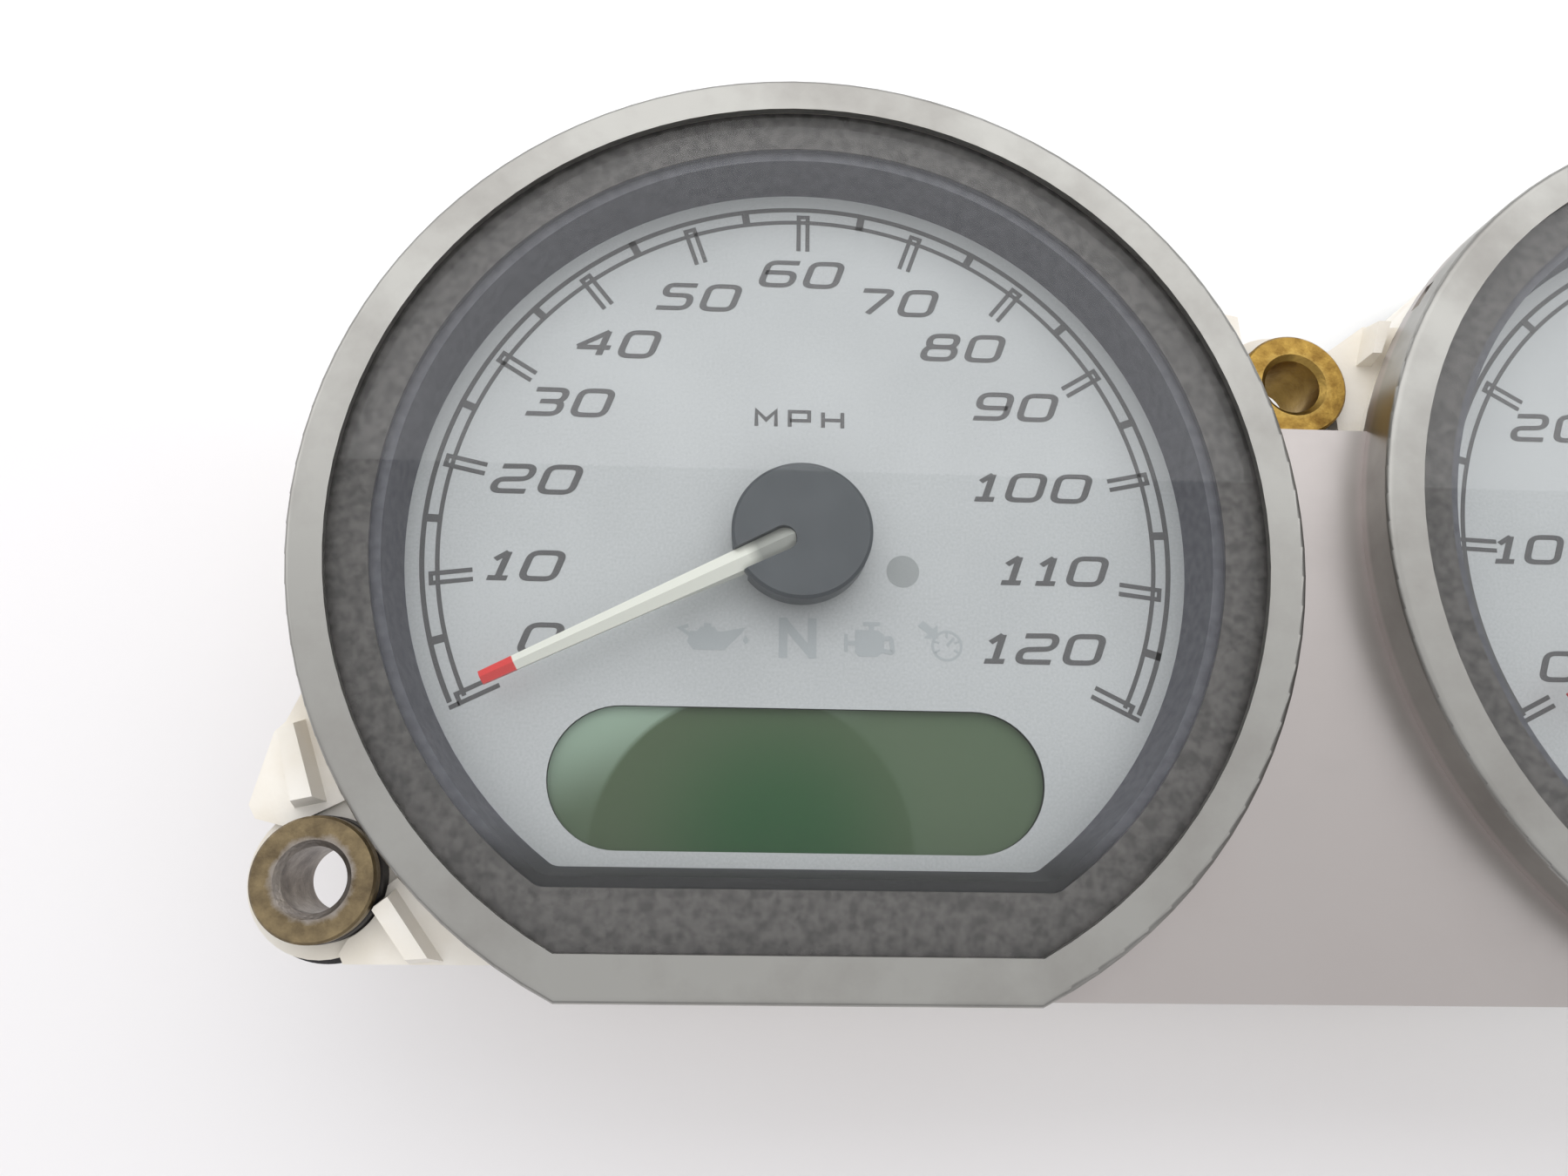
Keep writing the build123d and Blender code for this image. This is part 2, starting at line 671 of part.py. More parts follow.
for gauge, x in gauges:
    at = (x, dial_y)

    with BuildPart() as shield_can:
        with BuildSketch(Plane.XY.offset(can_z)):
            with Locations(at):
                Circle(can_r)
        extrude(amount=can_top - can_z)
        with BuildSketch(Plane.XY.offset(can_z + can_t)):
            with Locations(at):
                Circle(can_r - can_t)
        extrude(amount=can_top - can_z, mode=Mode.SUBTRACT)
        with BuildSketch(Plane.XY.offset(can_z)):
            with Locations(at):
                with GridLocations(bobbin - terminal_inset, bobbin - terminal_inset, 2, 2):
                    Circle(terminal_w / 2 + 2 * fit)
        extrude(amount=can_t, mode=Mode.SUBTRACT)
    shield_can.part.label = f"{gauge}_shield_can"
    export_step(shield_can.part, f"parts/{gauge}_shield_can.step")

    with BuildPart() as bobbin_lower:
        with BuildSketch(Plane.XY.offset(bobbin_low)):
            with Locations(at):
                RectangleRounded(bobbin, bobbin, 0.5)
        extrude(amount=magnet_mid - bobbin_low)
        with BuildSketch(Plane.XY.offset(magnet_mid - cavity_h / 2)):
            with Locations(at):
                Circle(cavity_r)
        extrude(amount=cavity_h / 2, mode=Mode.SUBTRACT)
        with BuildSketch(Plane.XY.offset(spindle_z)):
            with Locations(at):
                Circle(hole_r)
        extrude(amount=magnet_mid - spindle_z, mode=Mode.SUBTRACT)
    bobbin_lower.part.label = f"{gauge}_bobbin_lower"
    export_step(bobbin_lower.part, f"parts/{gauge}_bobbin_lower.step")

    with BuildPart() as bobbin_upper:
        with BuildSketch(Plane.XY.offset(magnet_mid)):
            with Locations(at):
                RectangleRounded(bobbin, bobbin, 0.5)
        extrude(amount=bobbin_top - magnet_mid)
        with BuildSketch(Plane.XY.offset(bobbin_top)):
            with Locations(at):
                Circle(neck_r)
        extrude(amount=neck_top - bobbin_top)
        with BuildSketch(Plane.XY.offset(magnet_mid)):
            with Locations(at):
                Circle(cavity_r)
        extrude(amount=cavity_h / 2, mode=Mode.SUBTRACT)
        with BuildSketch(Plane.XY.offset(magnet_mid)):
            with Locations(at):
                Circle(hole_r)
        extrude(amount=neck_top - magnet_mid, mode=Mode.SUBTRACT)
    bobbin_upper.part.label = f"{gauge}_bobbin_upper"
    export_step(bobbin_upper.part, f"parts/{gauge}_bobbin_upper.step")

    # inner winding round Y and Z, outer winding crossing it round X and Z
    mid = (bobbin_low + bobbin_top) / 2
    tall = bobbin_top - bobbin_low
    with BuildPart() as sine_coil:
        for sign in (-1, 1):
            plane = Plane(origin=(x + sign * coil_in, dial_y, mid), x_dir=(0, 1, 0), z_dir=(sign, 0, 0))
            with BuildSketch(plane):
                RectangleRounded(bobbin + 2 * coil_t, tall + 2 * coil_t, 0.8)
                Rectangle(bobbin, tall, mode=Mode.SUBTRACT)
            extrude(amount=coil_w)
    sine_coil.part.label = f"{gauge}_sine_coil"
    export_step(sine_coil.part, f"parts/{gauge}_sine_coil.step")

    with BuildPart() as cosine_coil:
        for sign in (-1, 1):
            plane = Plane(origin=(x, dial_y + sign * coil_in, mid), x_dir=(1, 0, 0), z_dir=(0, sign, 0))
            with BuildSketch(plane):
                RectangleRounded(bobbin + 2 * coil_t, tall + 4 * coil_t, 0.8)
                Rectangle(bobbin, tall + 2 * coil_t, mode=Mode.SUBTRACT)
            extrude(amount=coil_w)
    cosine_coil.part.label = f"{gauge}_cosine_coil"
    export_step(cosine_coil.part, f"parts/{gauge}_cosine_coil.step")

with BuildPart() as coil_terminals:
    with BuildSketch(Plane.XY.offset(board_top)):
        for x, y in centres:
            with Locations((x, y)):
                with GridLocations(bobbin - terminal_inset, bobbin - terminal_inset, 2, 2):
                    Rectangle(terminal_w, terminal_w)
    extrude(amount=bobbin_low - board_top)
coil_terminals.part.label = "coil_terminals"
export_step(coil_terminals.part, "parts/coil_terminals.step")


# ---- moving pieces of each gauge: spindle, magnet, pointer and hub cap

hub_z = dial_z + hub_top - hub_h
blade_z = dial_z + blade_low
blade_tip = foot_r - blade_gap
spindle_top = blade_z - 0.3
carrier_z = -carrier_t - carrier_flange_t
blade_thin = (blade_w_root - blade_w_tip) / (blade_tip - blade_start)
slot_root = blade_w_root / 2 + slot_fit
slot_end = slot_root - blade_thin * (hub_r + wall - blade_start) / 2
slot_mid = blade_start + blade_w_root / 2

for gauge, x in gauges:
    at = (x, dial_y)
    arm_plane = polar_plane(x, rest_angle, 0, blade_z)

    with BuildPart() as spindle:
        with BuildSketch(Plane.XY.offset(spindle_z + gap)):
            with Locations(at):
                Circle(spindle_r)
        extrude(amount=spindle_top - spindle_z - gap)
        chamfer(spindle.edges().group_by(Axis.Z)[0], 0.2)
    spindle.part.label = f"{gauge}_spindle"
    export_step(spindle.part, f"parts/{gauge}_spindle.step")

    with BuildPart() as rotor_magnet:
        with BuildSketch(Plane.XY.offset(magnet_mid - magnet_h / 2)):
            with Locations(at):
                Circle(magnet_r)
                Circle(spindle_r, mode=Mode.SUBTRACT)
        extrude(amount=magnet_h)
    rotor_magnet.part.label = f"{gauge}_rotor_magnet"
    export_step(rotor_magnet.part, f"parts/{gauge}_rotor_magnet.step")

    # carrier: hub boss pressed on the spindle with a short arm under the blade
    with BuildPart() as pointer_carrier:
        with BuildSketch(arm_plane.offset(carrier_z)):
            Circle(hub_r - cap_skin - 3 * fit)
        extrude(amount=carrier_flange_t)
        with BuildSketch(arm_plane.offset(-carrier_t)):
            Circle(carrier_boss_r)
            Polygon((0, -carrier_w / 2), (0, carrier_w / 2), (carrier_reach, carrier_w_end / 2),
                    (carrier_reach, -carrier_w_end / 2), align=None)
        extrude(amount=carrier_t)
        with BuildSketch(arm_plane.offset(carrier_z)):
            Circle(spindle_r)
        extrude(amount=spindle_top - blade_z - carrier_z, mode=Mode.SUBTRACT)
    pointer_carrier.part.label = f"{gauge}_pointer_carrier"
    export_step(pointer_carrier.part, f"parts/{gauge}_pointer_carrier.step")

    # blade: five-sided section with a centre ridge, narrowing to the tip
    with BuildPart() as pointer_blade:
        for reach, width, ridge in ((blade_start, blade_w_root, blade_ridge),
                                    (blade_tip, blade_w_tip, 0.8 * blade_ridge)):
            along = arm_plane.x_dir
            here = arm_plane.origin + along * reach
            with BuildSketch(Plane(origin=here, x_dir=Vector(0, 0, 1).cross(along), z_dir=along)):
                Polygon((-width / 2, 0), (width / 2, 0), (width / 2, blade_edge), (0, ridge),
                        (-width / 2, blade_edge), align=None)
        loft()
        # root end rounded off
        with BuildSketch(arm_plane):
            Rectangle(slot_mid, 2 * blade_w_root, align=(Align.MIN, Align.CENTER))
            with Locations((slot_mid, 0)):
                Circle(blade_w_root / 2, mode=Mode.SUBTRACT)
        extrude(amount=2 * blade_ridge, mode=Mode.SUBTRACT)
    pointer_blade.part.label = f"{gauge}_pointer_blade"
    export_step(pointer_blade.part, f"parts/{gauge}_pointer_blade.step")

    with BuildPart() as hub_cap:
        with BuildSketch(Plane.XY.offset(hub_z)):
            with Locations(at):
                Circle(hub_r)
        extrude(amount=hub_h)
        chamfer(hub_cap.edges().group_by(Axis.Z)[-1], 0.35)
        with BuildSketch(Plane.XY.offset(hub_z)):
            with Locations(at):
                Circle(hub_r - cap_skin)
        extrude(amount=blade_z + fit - hub_z, mode=Mode.SUBTRACT)
        with BuildSketch(arm_plane):
            Circle(carrier_boss_r)
        extrude(amount=2 * fit)
        # slot the blade lies in, rounded like its root, wide below for the carrier's arm
        with BuildSketch(arm_plane):
            with Locations((slot_mid, 0)):
                Circle(slot_root)
            Polygon((slot_mid, -slot_root), (slot_mid, slot_root), (hub_r + wall, slot_end),
                    (hub_r + wall, -slot_end), align=None)
        extrude(amount=hub_h, mode=Mode.SUBTRACT)
        with BuildSketch(arm_plane.offset(hub_z - blade_z)):
            Rectangle(2 * hub_r, carrier_w + 2 * fit, align=(Align.MIN, Align.CENTER))
        extrude(amount=blade_z - hub_z, mode=Mode.SUBTRACT)
    hub_cap.part.label = f"{gauge}_hub_cap"
    export_step(hub_cap.part, f"parts/{gauge}_hub_cap.step")


# ---- display and telltales of the speedometer

lcd_at = (speedo_x, dial_y + lcd_y)
lcd_z = dial_z - dial_t - lcd_t
glass_w = lcd_w + 2 * lcd_rim
glass_h = lcd_h + 2 * lcd_rim

with BuildPart() as lcd_glass:
    with BuildSketch(Plane.XY.offset(lcd_z)):
        with Locations(lcd_at):
            Rectangle(glass_w, glass_h - lcd_ledge)
    extrude(amount=lcd_t / 2)
    with BuildSketch(Plane.XY.offset(lcd_z + lcd_t / 2)):
        with Locations(lcd_at):
            Rectangle(glass_w, glass_h)
    extrude(amount=lcd_t / 2)
lcd_glass.part.label = "lcd_glass"
export_step(lcd_glass.part, "parts/lcd_glass.step")

with BuildPart() as lcd_diffuser:
    with BuildSketch(Plane.XY.offset(guide_z)):
        with Locations(lcd_at):
            Rectangle(glass_w, lcd_h + 2.0)
    extrude(amount=lcd_z - guide_z)
lcd_diffuser.part.label = "lcd_diffuser"
export_step(lcd_diffuser.part, "parts/lcd_diffuser.step")

with BuildPart() as lcd_light_box:
    with BuildSketch(Plane.XY.offset(board_top)):
        with Locations(lcd_at):
            Rectangle(lcd_w + 3, lcd_h + 2)
            Rectangle(lcd_w, lcd_h - 1, mode=Mode.SUBTRACT)
    extrude(amount=guide_z - board_top)
lcd_light_box.part.label = "lcd_light_box"
export_step(lcd_light_box.part, "parts/lcd_light_box.step")

with BuildPart() as lcd_leds:
    with BuildSketch(Plane.XY.offset(board_top)):
        with Locations(lcd_at):
            with GridLocations(lcd_w / 4, 1, 4, 1):
                Rectangle(led_w, led_h)
    extrude(amount=led_t)
lcd_leds.part.label = "lcd_leds"
export_step(lcd_leds.part, "parts/lcd_leds.step")

with BuildPart() as lcd_pins:
    with BuildSketch(Plane.XY.offset(board_top)):
        with Locations(lcd_at):
            with GridLocations(lcd_pin_pitch, glass_h - lcd_pin_inset, lcd_pins_per_side, 2):
                Rectangle(0.5, 0.4)
    extrude(amount=lcd_z + lcd_t / 2 - board_top)
lcd_pins.part.label = "lcd_pins"
export_step(lcd_pins.part, "parts/lcd_pins.step")

with BuildPart() as telltale_flex:
    with BuildSketch(Plane.XY.offset(guide_z)):
        with Locations((speedo_x + telltale_mid, dial_y + telltale_y)):
            Rectangle(telltale_span, telltale_cell + shroud_rim)
        with Locations((speedo_x + lamp_x, dial_y + lamp_y)):
            Rectangle(lamp_cell + shroud_rim, lamp_cell + 2 * shroud_rim)
    extrude(amount=flex_t)
telltale_flex.part.label = "telltale_flex"
export_step(telltale_flex.part, "parts/telltale_flex.step")

with BuildPart() as telltale_shroud:
    with BuildSketch(Plane.XY.offset(guide_z + flex_t)):
        with Locations((speedo_x + telltale_mid, dial_y + telltale_y)):
            Rectangle(telltale_span, telltale_cell + shroud_rim)
        with Locations((speedo_x + lamp_x, dial_y + lamp_y)):
            Rectangle(lamp_cell + shroud_rim, lamp_cell + 2 * shroud_rim)
        for offset_x in telltale_x:
            with Locations((speedo_x + offset_x, dial_y + telltale_y)):
                Rectangle(telltale_cell - telltale_wall, telltale_cell - 2 * telltale_wall, mode=Mode.SUBTRACT)
        with Locations((speedo_x + lamp_x, dial_y + lamp_y)):
            Circle(lamp_cell / 2, mode=Mode.SUBTRACT)
    extrude(amount=guide_t - flex_t)
telltale_shroud.part.label = "telltale_shroud"
export_step(telltale_shroud.part, "parts/telltale_shroud.step")

with BuildPart() as telltale_leds:
    with BuildSketch(Plane.XY.offset(guide_z + flex_t)):
        for offset_x in telltale_x:
            with Locations((speedo_x + offset_x, dial_y + telltale_y)):
                Rectangle(small_led[0], small_led[1])
        with Locations((speedo_x + lamp_x, dial_y + lamp_y)):
            Rectangle(small_led[0], small_led[1])
    extrude(amount=small_led[2])
telltale_leds.part.label = "telltale_leds"
export_step(telltale_leds.part, "parts/telltale_leds.step")


# ---- circuit board and what is on it

# the chip keeps clear of the web's top wall, the drivers and regulator of the lower wall and posts
chip_at = (0.0, dial_y + web_top_y - wall - chip_w / 2 - 3.2)
driver_at = ((-16.0, dial_y - inner_flat + 11.2), (16.0, dial_y - inner_flat + 11.2))
capacitor_at = ((-8.0, dial_y - 10.0), (0.0, dial_y - 10.0), (8.0, dial_y - 10.0))
regulator_at = (0.0, dial_y - inner_flat + 9.2)

with BuildPart() as circuit_board:
    with BuildSketch(Plane.XY.offset(board_z)):
        add(outline(inner_r - 1, inner_flat - 1, web_top_y - wall - 1))
        for x, y in centres:
            with Locations((x, y)):
                with Locations(*cover_screw_at):
                    Circle(post_r + 0.8, mode=Mode.SUBTRACT)
                with Locations(*board_screw_at):
                    Circle(pilot_r + 0.2, mode=Mode.SUBTRACT)
        with Locations((0, dial_y + socket_y)):
            with GridLocations(pin_pitch, pin_row, pins_per_row, 2):
                Circle(0.5, mode=Mode.SUBTRACT)
    extrude(amount=board_t)
circuit_board.part.label = "circuit_board"
export_step(circuit_board.part, "parts/circuit_board.step")

with BuildPart() as main_chip:
    with BuildSketch(Plane.XY.offset(board_top + gap)):
        with Locations(chip_at):
            Rectangle(chip_w, chip_w)
    extrude(amount=chip_t)
    with BuildSketch(Plane.XY.offset(board_top)):
        with Locations(chip_at):
            with GridLocations(chip_pitch, chip_w + lead_len / 2, chip_leads, 2):
                Rectangle(chip_pitch / 2, lead_len)
            with GridLocations(chip_w + lead_len / 2, chip_pitch, 2, chip_leads):
                Rectangle(lead_len, chip_pitch / 2)
    extrude(amount=lead_t)
main_chip.part.label = "main_chip"
export_step(main_chip.part, "parts/main_chip.step")

with BuildPart() as driver_chips:
    with BuildSketch(Plane.XY.offset(board_top + gap)):
        with Locations(*driver_at):
            Rectangle(driver_size[0], driver_size[1])
    extrude(amount=driver_size[2])
    for spot in driver_at:
        with BuildSketch(Plane.XY.offset(board_top)):
            with Locations(spot):
                with GridLocations(driver_pitch, driver_size[1] + lead_len / 2, driver_leads, 2):
                    Rectangle(driver_pitch / 3, lead_len)
        extrude(amount=lead_t)
driver_chips.part.label = "driver_chips"
export_step(driver_chips.part, "parts/driver_chips.step")

with BuildPart() as capacitors:
    with BuildSketch(Plane.XY.offset(board_top)):
        with Locations(*capacitor_at):
            Circle(capacitor_r)
    extrude(amount=capacitor_h)
    fillet(capacitors.edges().group_by(Axis.Z)[-1], 0.5)
capacitors.part.label = "capacitors"
export_step(capacitors.part, "parts/capacitors.step")

with BuildPart() as voltage_regulator:
    with BuildSketch(Plane.XY.offset(board_top)):
        with Locations(regulator_at):
            Rectangle(regulator_size[0], regulator_size[1])
    extrude(amount=regulator_size[2])
voltage_regulator.part.label = "voltage_regulator"
export_step(voltage_regulator.part, "parts/voltage_regulator.step")

with BuildPart() as harness_socket:
    with BuildSketch(Plane.XY.offset(recess)):
        with Locations((0, dial_y + socket_y)):
            RectangleRounded(socket_w, socket_h, 0.8)
    extrude(amount=board_z - recess)
    with BuildSketch(Plane.XY.offset(recess)):
        with Locations((0, dial_y + socket_y)):
            RectangleRounded(socket_w - 2 * socket_wall, socket_h - 2 * socket_wall, 0.5)
    extrude(amount=board_z - socket_floor - recess, mode=Mode.SUBTRACT)
    # keying rib inside one long wall
    with BuildSketch(Plane.XY.offset(pin_low)):
        with Locations((0, dial_y + socket_y + socket_h / 2 - socket_wall)):
            Rectangle(key_w, key_t, align=(Align.CENTER, Align.MAX))
    extrude(amount=board_z - socket_floor - pin_low)
    with BuildSketch(Plane.XY.offset(board_z - socket_floor)):
        with Locations((0, dial_y + socket_y)):
            with GridLocations(pin_pitch, pin_row, pins_per_row, 2):
                Rectangle(pin_w, pin_w)
    extrude(amount=socket_floor, mode=Mode.SUBTRACT)
harness_socket.part.label = "harness_socket"
export_step(harness_socket.part, "parts/harness_socket.step")

with BuildPart() as socket_pins:
    with BuildSketch(Plane.XY.offset(pin_low)):
        with Locations((0, dial_y + socket_y)):
            with GridLocations(pin_pitch, pin_row, pins_per_row, 2):
                Rectangle(pin_w, pin_w)
    extrude(amount=board_top + 1.0 - pin_low)
socket_pins.part.label = "socket_pins"
export_step(socket_pins.part, "parts/socket_pins.step")


# ---- screws, each set one node

def screw(length):
    """Pan-head screw standing on its head at the origin, with a cross recess."""
    with BuildPart() as body:
        with BuildSketch():
            Circle(head_r)
        extrude(amount=head_h)
        fillet(body.edges().group_by(Axis.Z)[0], 0.5)
        with BuildSketch(Plane.XY.offset(head_h)):
            Circle(shank_r)
        extrude(amount=length)
        chamfer(body.edges().group_by(Axis.Z)[-1], 0.5)
        with BuildSketch():
            Rectangle(cross_w, cross_t)
            Rectangle(cross_t, cross_w)
        extrude(amount=cross_deep, mode=Mode.SUBTRACT)
    return body.part


cover_screw = screw(screw_len)
board_screw = screw(screw_len - 2)

with BuildPart() as cover_screws:
    for x, y in centres:
        with Locations((x, y, recess)):
            with Locations(*cover_screw_at):
                add(cover_screw)
cover_screws.part.label = "cover_screws"
export_step(cover_screws.part, "parts/cover_screws.step")

with BuildPart() as board_screws:
    for x, y in centres:
        with Locations((x, y, board_z - head_h)):
            with Locations(*board_screw_at):
                add(board_screw)
board_screws.part.label = "board_screws"
export_step(board_screws.part, "parts/board_screws.step")
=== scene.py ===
from math import cos, pi, radians, sin

import bpy
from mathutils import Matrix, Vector


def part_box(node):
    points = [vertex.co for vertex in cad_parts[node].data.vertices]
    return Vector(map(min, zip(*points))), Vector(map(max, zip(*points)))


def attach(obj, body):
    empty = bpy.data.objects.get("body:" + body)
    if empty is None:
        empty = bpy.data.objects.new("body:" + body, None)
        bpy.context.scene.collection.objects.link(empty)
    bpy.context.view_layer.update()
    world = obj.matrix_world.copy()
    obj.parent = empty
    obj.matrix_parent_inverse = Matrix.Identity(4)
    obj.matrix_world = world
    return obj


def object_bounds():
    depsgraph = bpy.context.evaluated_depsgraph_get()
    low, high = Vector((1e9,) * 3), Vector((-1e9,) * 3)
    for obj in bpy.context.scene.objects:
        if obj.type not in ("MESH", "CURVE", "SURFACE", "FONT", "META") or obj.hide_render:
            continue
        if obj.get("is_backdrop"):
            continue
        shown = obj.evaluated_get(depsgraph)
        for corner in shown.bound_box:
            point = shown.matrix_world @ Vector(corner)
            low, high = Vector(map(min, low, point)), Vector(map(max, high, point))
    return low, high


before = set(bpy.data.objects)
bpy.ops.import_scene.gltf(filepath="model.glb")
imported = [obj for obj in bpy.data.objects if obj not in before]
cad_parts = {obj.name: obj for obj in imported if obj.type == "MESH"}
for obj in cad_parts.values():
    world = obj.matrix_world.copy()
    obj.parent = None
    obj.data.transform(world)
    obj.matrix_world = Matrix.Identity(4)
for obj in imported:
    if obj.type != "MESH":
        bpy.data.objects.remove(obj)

# taken straight after load, before the printing and floor are added
low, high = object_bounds()
mm = 0.001

# camera, held close over the left gauge with a wide lens

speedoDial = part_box("speedo_dial")
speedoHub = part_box("speedo_hub_cap")
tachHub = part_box("tach_hub_cap")
dialTop = speedoDial[1].z
speedoX = (speedoHub[0].x + speedoHub[1].x) / 2
tachX = (tachHub[0].x + tachHub[1].x) / 2
dialY = (speedoHub[0].y + speedoHub[1].y) / 2

view = {"right": -6.7, "up": -35.63, "above": 122.86, "turn": (13.853, -2.505, 0.741), "lens": 26.05}
cameraData = bpy.data.cameras.new("phoneCamera")
cameraData.lens = view["lens"]
cameraData.sensor_width = 36
cameraData.clip_start = 5 * mm
camera = bpy.data.objects.new("phoneCamera", cameraData)
camera.location = (speedoX + view["right"] * mm, dialY + view["up"] * mm, dialTop + view["above"] * mm)
camera.rotation_euler = [radians(angle) for angle in view["turn"]]
bpy.context.scene.collection.objects.link(camera)
bpy.context.scene.camera = camera
bpy.context.scene.view_settings.view_transform = "Standard"


# small helpers

def toLinear(code):
    channels = [int(code[i:i + 2], 16) / 255 for i in (1, 3, 5)]
    return [c / 12.92 if c <= 0.04045 else ((c + 0.055) / 1.055) ** 2.4 for c in channels] + [1]


def add(tree, kind, inputs=None, **options):
    made = tree.nodes.new("ShaderNode" + kind)
    for key, value in options.items():
        setattr(made, key, value)
    for key, value in (inputs or {}).items():
        if isinstance(value, bpy.types.NodeSocket):
            tree.links.new(value, made.inputs[key])
        else:
            made.inputs[key].default_value = value
    return made


def perMm(size):
    return 1000 / size  # texture scale that makes one feature this many mm wide


def material(name):
    made = bpy.data.materials.new(name)
    made.use_nodes = True
    tree = made.node_tree
    return made, tree, tree.nodes["Principled BSDF"]


def meshPiece(name, verts, faces, thick):
    data = bpy.data.meshes.new(name)
    data.from_pydata([Vector(v) for v in verts], [], faces)
    data.update()
    made = bpy.data.objects.new(name, data)
    bpy.context.scene.collection.objects.link(made)
    solid = made.modifiers.new("thickness", "SOLIDIFY")
    solid.thickness = thick
    solid.offset = 1
    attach(made, "cluster")
    return made


# finishes shared by several nodes

# look: two colours, the blotch size in mm, two roughnesses, bump size in mm and depth
def mottled(name, look):
    made, tree, shader = material(name)
    place = add(tree, "TexCoord").outputs["Object"]
    blotch = add(tree, "TexNoise", {"Vector": place, "Scale": perMm(look["blotch"]), "Detail": 5})
    spread = add(tree, "MapRange", {"Value": blotch.outputs["Fac"], "From Min": 0.35, "From Max": 0.65})
    colour = add(tree, "Mix", {0: spread.outputs[0], 6: toLinear(look["colours"][0]),
                               7: toLinear(look["colours"][1])}, data_type="RGBA")
    sheen = add(tree, "MapRange", {"Value": blotch.outputs["Fac"], "From Min": 0.3, "From Max": 0.7,
                                   "To Min": look["rough"][0], "To Max": look["rough"][1]})
    grain = add(tree, "TexNoise", {"Vector": place, "Scale": perMm(look["grain"]), "Detail": 2})
    bump = add(tree, "Bump", {"Height": grain.outputs["Fac"], "Strength": look["bump"],
                              "Distance": look["grain"] * mm / 2})
    tree.links.new(colour.outputs[2], shader.inputs["Base Color"])
    tree.links.new(sheen.outputs[0], shader.inputs["Roughness"])
    tree.links.new(bump.outputs[0], shader.inputs["Normal"])
    shader.inputs["Metallic"].default_value = look.get("metal", 0)
    shader.inputs["Coat Weight"].default_value = look.get("coat", 0)
    return made, tree, shader


finish = {}

# moulded parts: near white, with broad warm blotches like old dirt
finish["white_housing"] = mottled("mouldedAbsCreamyWhite", {
    "colours": ("#f4f0e8", "#eae3d6"), "blotch": 9, "rough": (0.38, 0.52), "grain": 0.4, "bump": 0.12})[0]
finish["white_nylon"] = mottled("nylonNatural", {
    "colours": ("#ece8dc", "#e0dac8"), "blotch": 3, "rough": (0.4, 0.5), "grain": 0.3, "bump": 0.1})[0]
# blacks differ in sheen: the foam swallows light, the rubber has a bloom, the plastic a low shine
finish["black_foam"] = mottled("closedCellFoamBlack", {
    "colours": ("#1d1d1e", "#2a2a2b"), "blotch": 0.8, "rough": (0.8, 0.95), "grain": 0.2, "bump": 0.5})[0]
finish["black_rubber"] = mottled("mouldedRubberBlack", {
    "colours": ("#1a181b", "#2c292c"), "blotch": 2, "rough": (0.42, 0.6), "grain": 0.25, "bump": 0.15})[0]
finish["black_plastic"] = mottled("mouldedNylonBlack", {
    "colours": ("#1c1c1d", "#262627"), "blotch": 4, "rough": (0.4, 0.5), "grain": 0.3, "bump": 0.15})[0]
finish["grey_vent"] = mottled("mouldedVentGrey", {
    "colours": ("#4a4a4c", "#58585a"), "blotch": 2, "rough": (0.5, 0.6), "grain": 0.3, "bump": 0.1})[0]
# movement metals: drawn can, plated spindle and screws, sintered magnet, winding wire
finish["nickel_iron"] = mottled("nickelIronAnnealed", {
    "colours": ("#b4b0a8", "#9c978d"), "blotch": 4, "rough": (0.32, 0.48), "grain": 0.5, "bump": 0.06,
    "metal": 1})[0]
finish["plain_steel"] = mottled("zincPlatedSteel", {
    "colours": ("#c3c3c6", "#a9a9ad"), "blotch": 2, "rough": (0.22, 0.36), "grain": 0.3, "bump": 0.05,
    "metal": 1})[0]
finish["ferrite"] = mottled("sinteredFerrite", {
    "colours": ("#3c3c3f", "#4a4a4c"), "blotch": 1, "rough": (0.5, 0.65), "grain": 0.15, "bump": 0.2})[0]
finish["copper_wire"] = mottled("enamelledCopperWire", {
    "colours": ("#c8723c", "#a85a2c"), "blotch": 1.2, "rough": (0.22, 0.34), "grain": 0.18, "bump": 0.5,
    "metal": 1})[0]
# board parts
finish["green_board"] = mottled("solderMaskGreen", {
    "colours": ("#1e6b3a", "#185a30"), "blotch": 6, "rough": (0.25, 0.4), "grain": 1.2, "bump": 0.1,
    "coat": 0.4})[0]
finish["chip_black"] = mottled("mouldedEpoxyBlack", {
    "colours": ("#29292b", "#343436"), "blotch": 1.5, "rough": (0.5, 0.62), "grain": 0.12, "bump": 0.2})[0]
finish["capacitor_sleeve"] = mottled("shrinkSleeveNavy", {
    "colours": ("#2c3355", "#252b49"), "blotch": 3, "rough": (0.2, 0.3), "grain": 0.6, "bump": 0.05})[0]
finish["led_body"] = mottled("lampBodyCream", {
    "colours": ("#efe7c4", "#e4d9ac"), "blotch": 1, "rough": (0.25, 0.35), "grain": 0.3, "bump": 0.05})[0]

# hub cap: satin plastic, in the dark grey that it shows under the pane
finish["black_hub"] = mottled("satinAcrylicBlack", {
    "colours": ("#474b4f", "#3f4347"), "blotch": 5, "rough": (0.38, 0.46), "grain": 0.2, "bump": 0.04})[0]


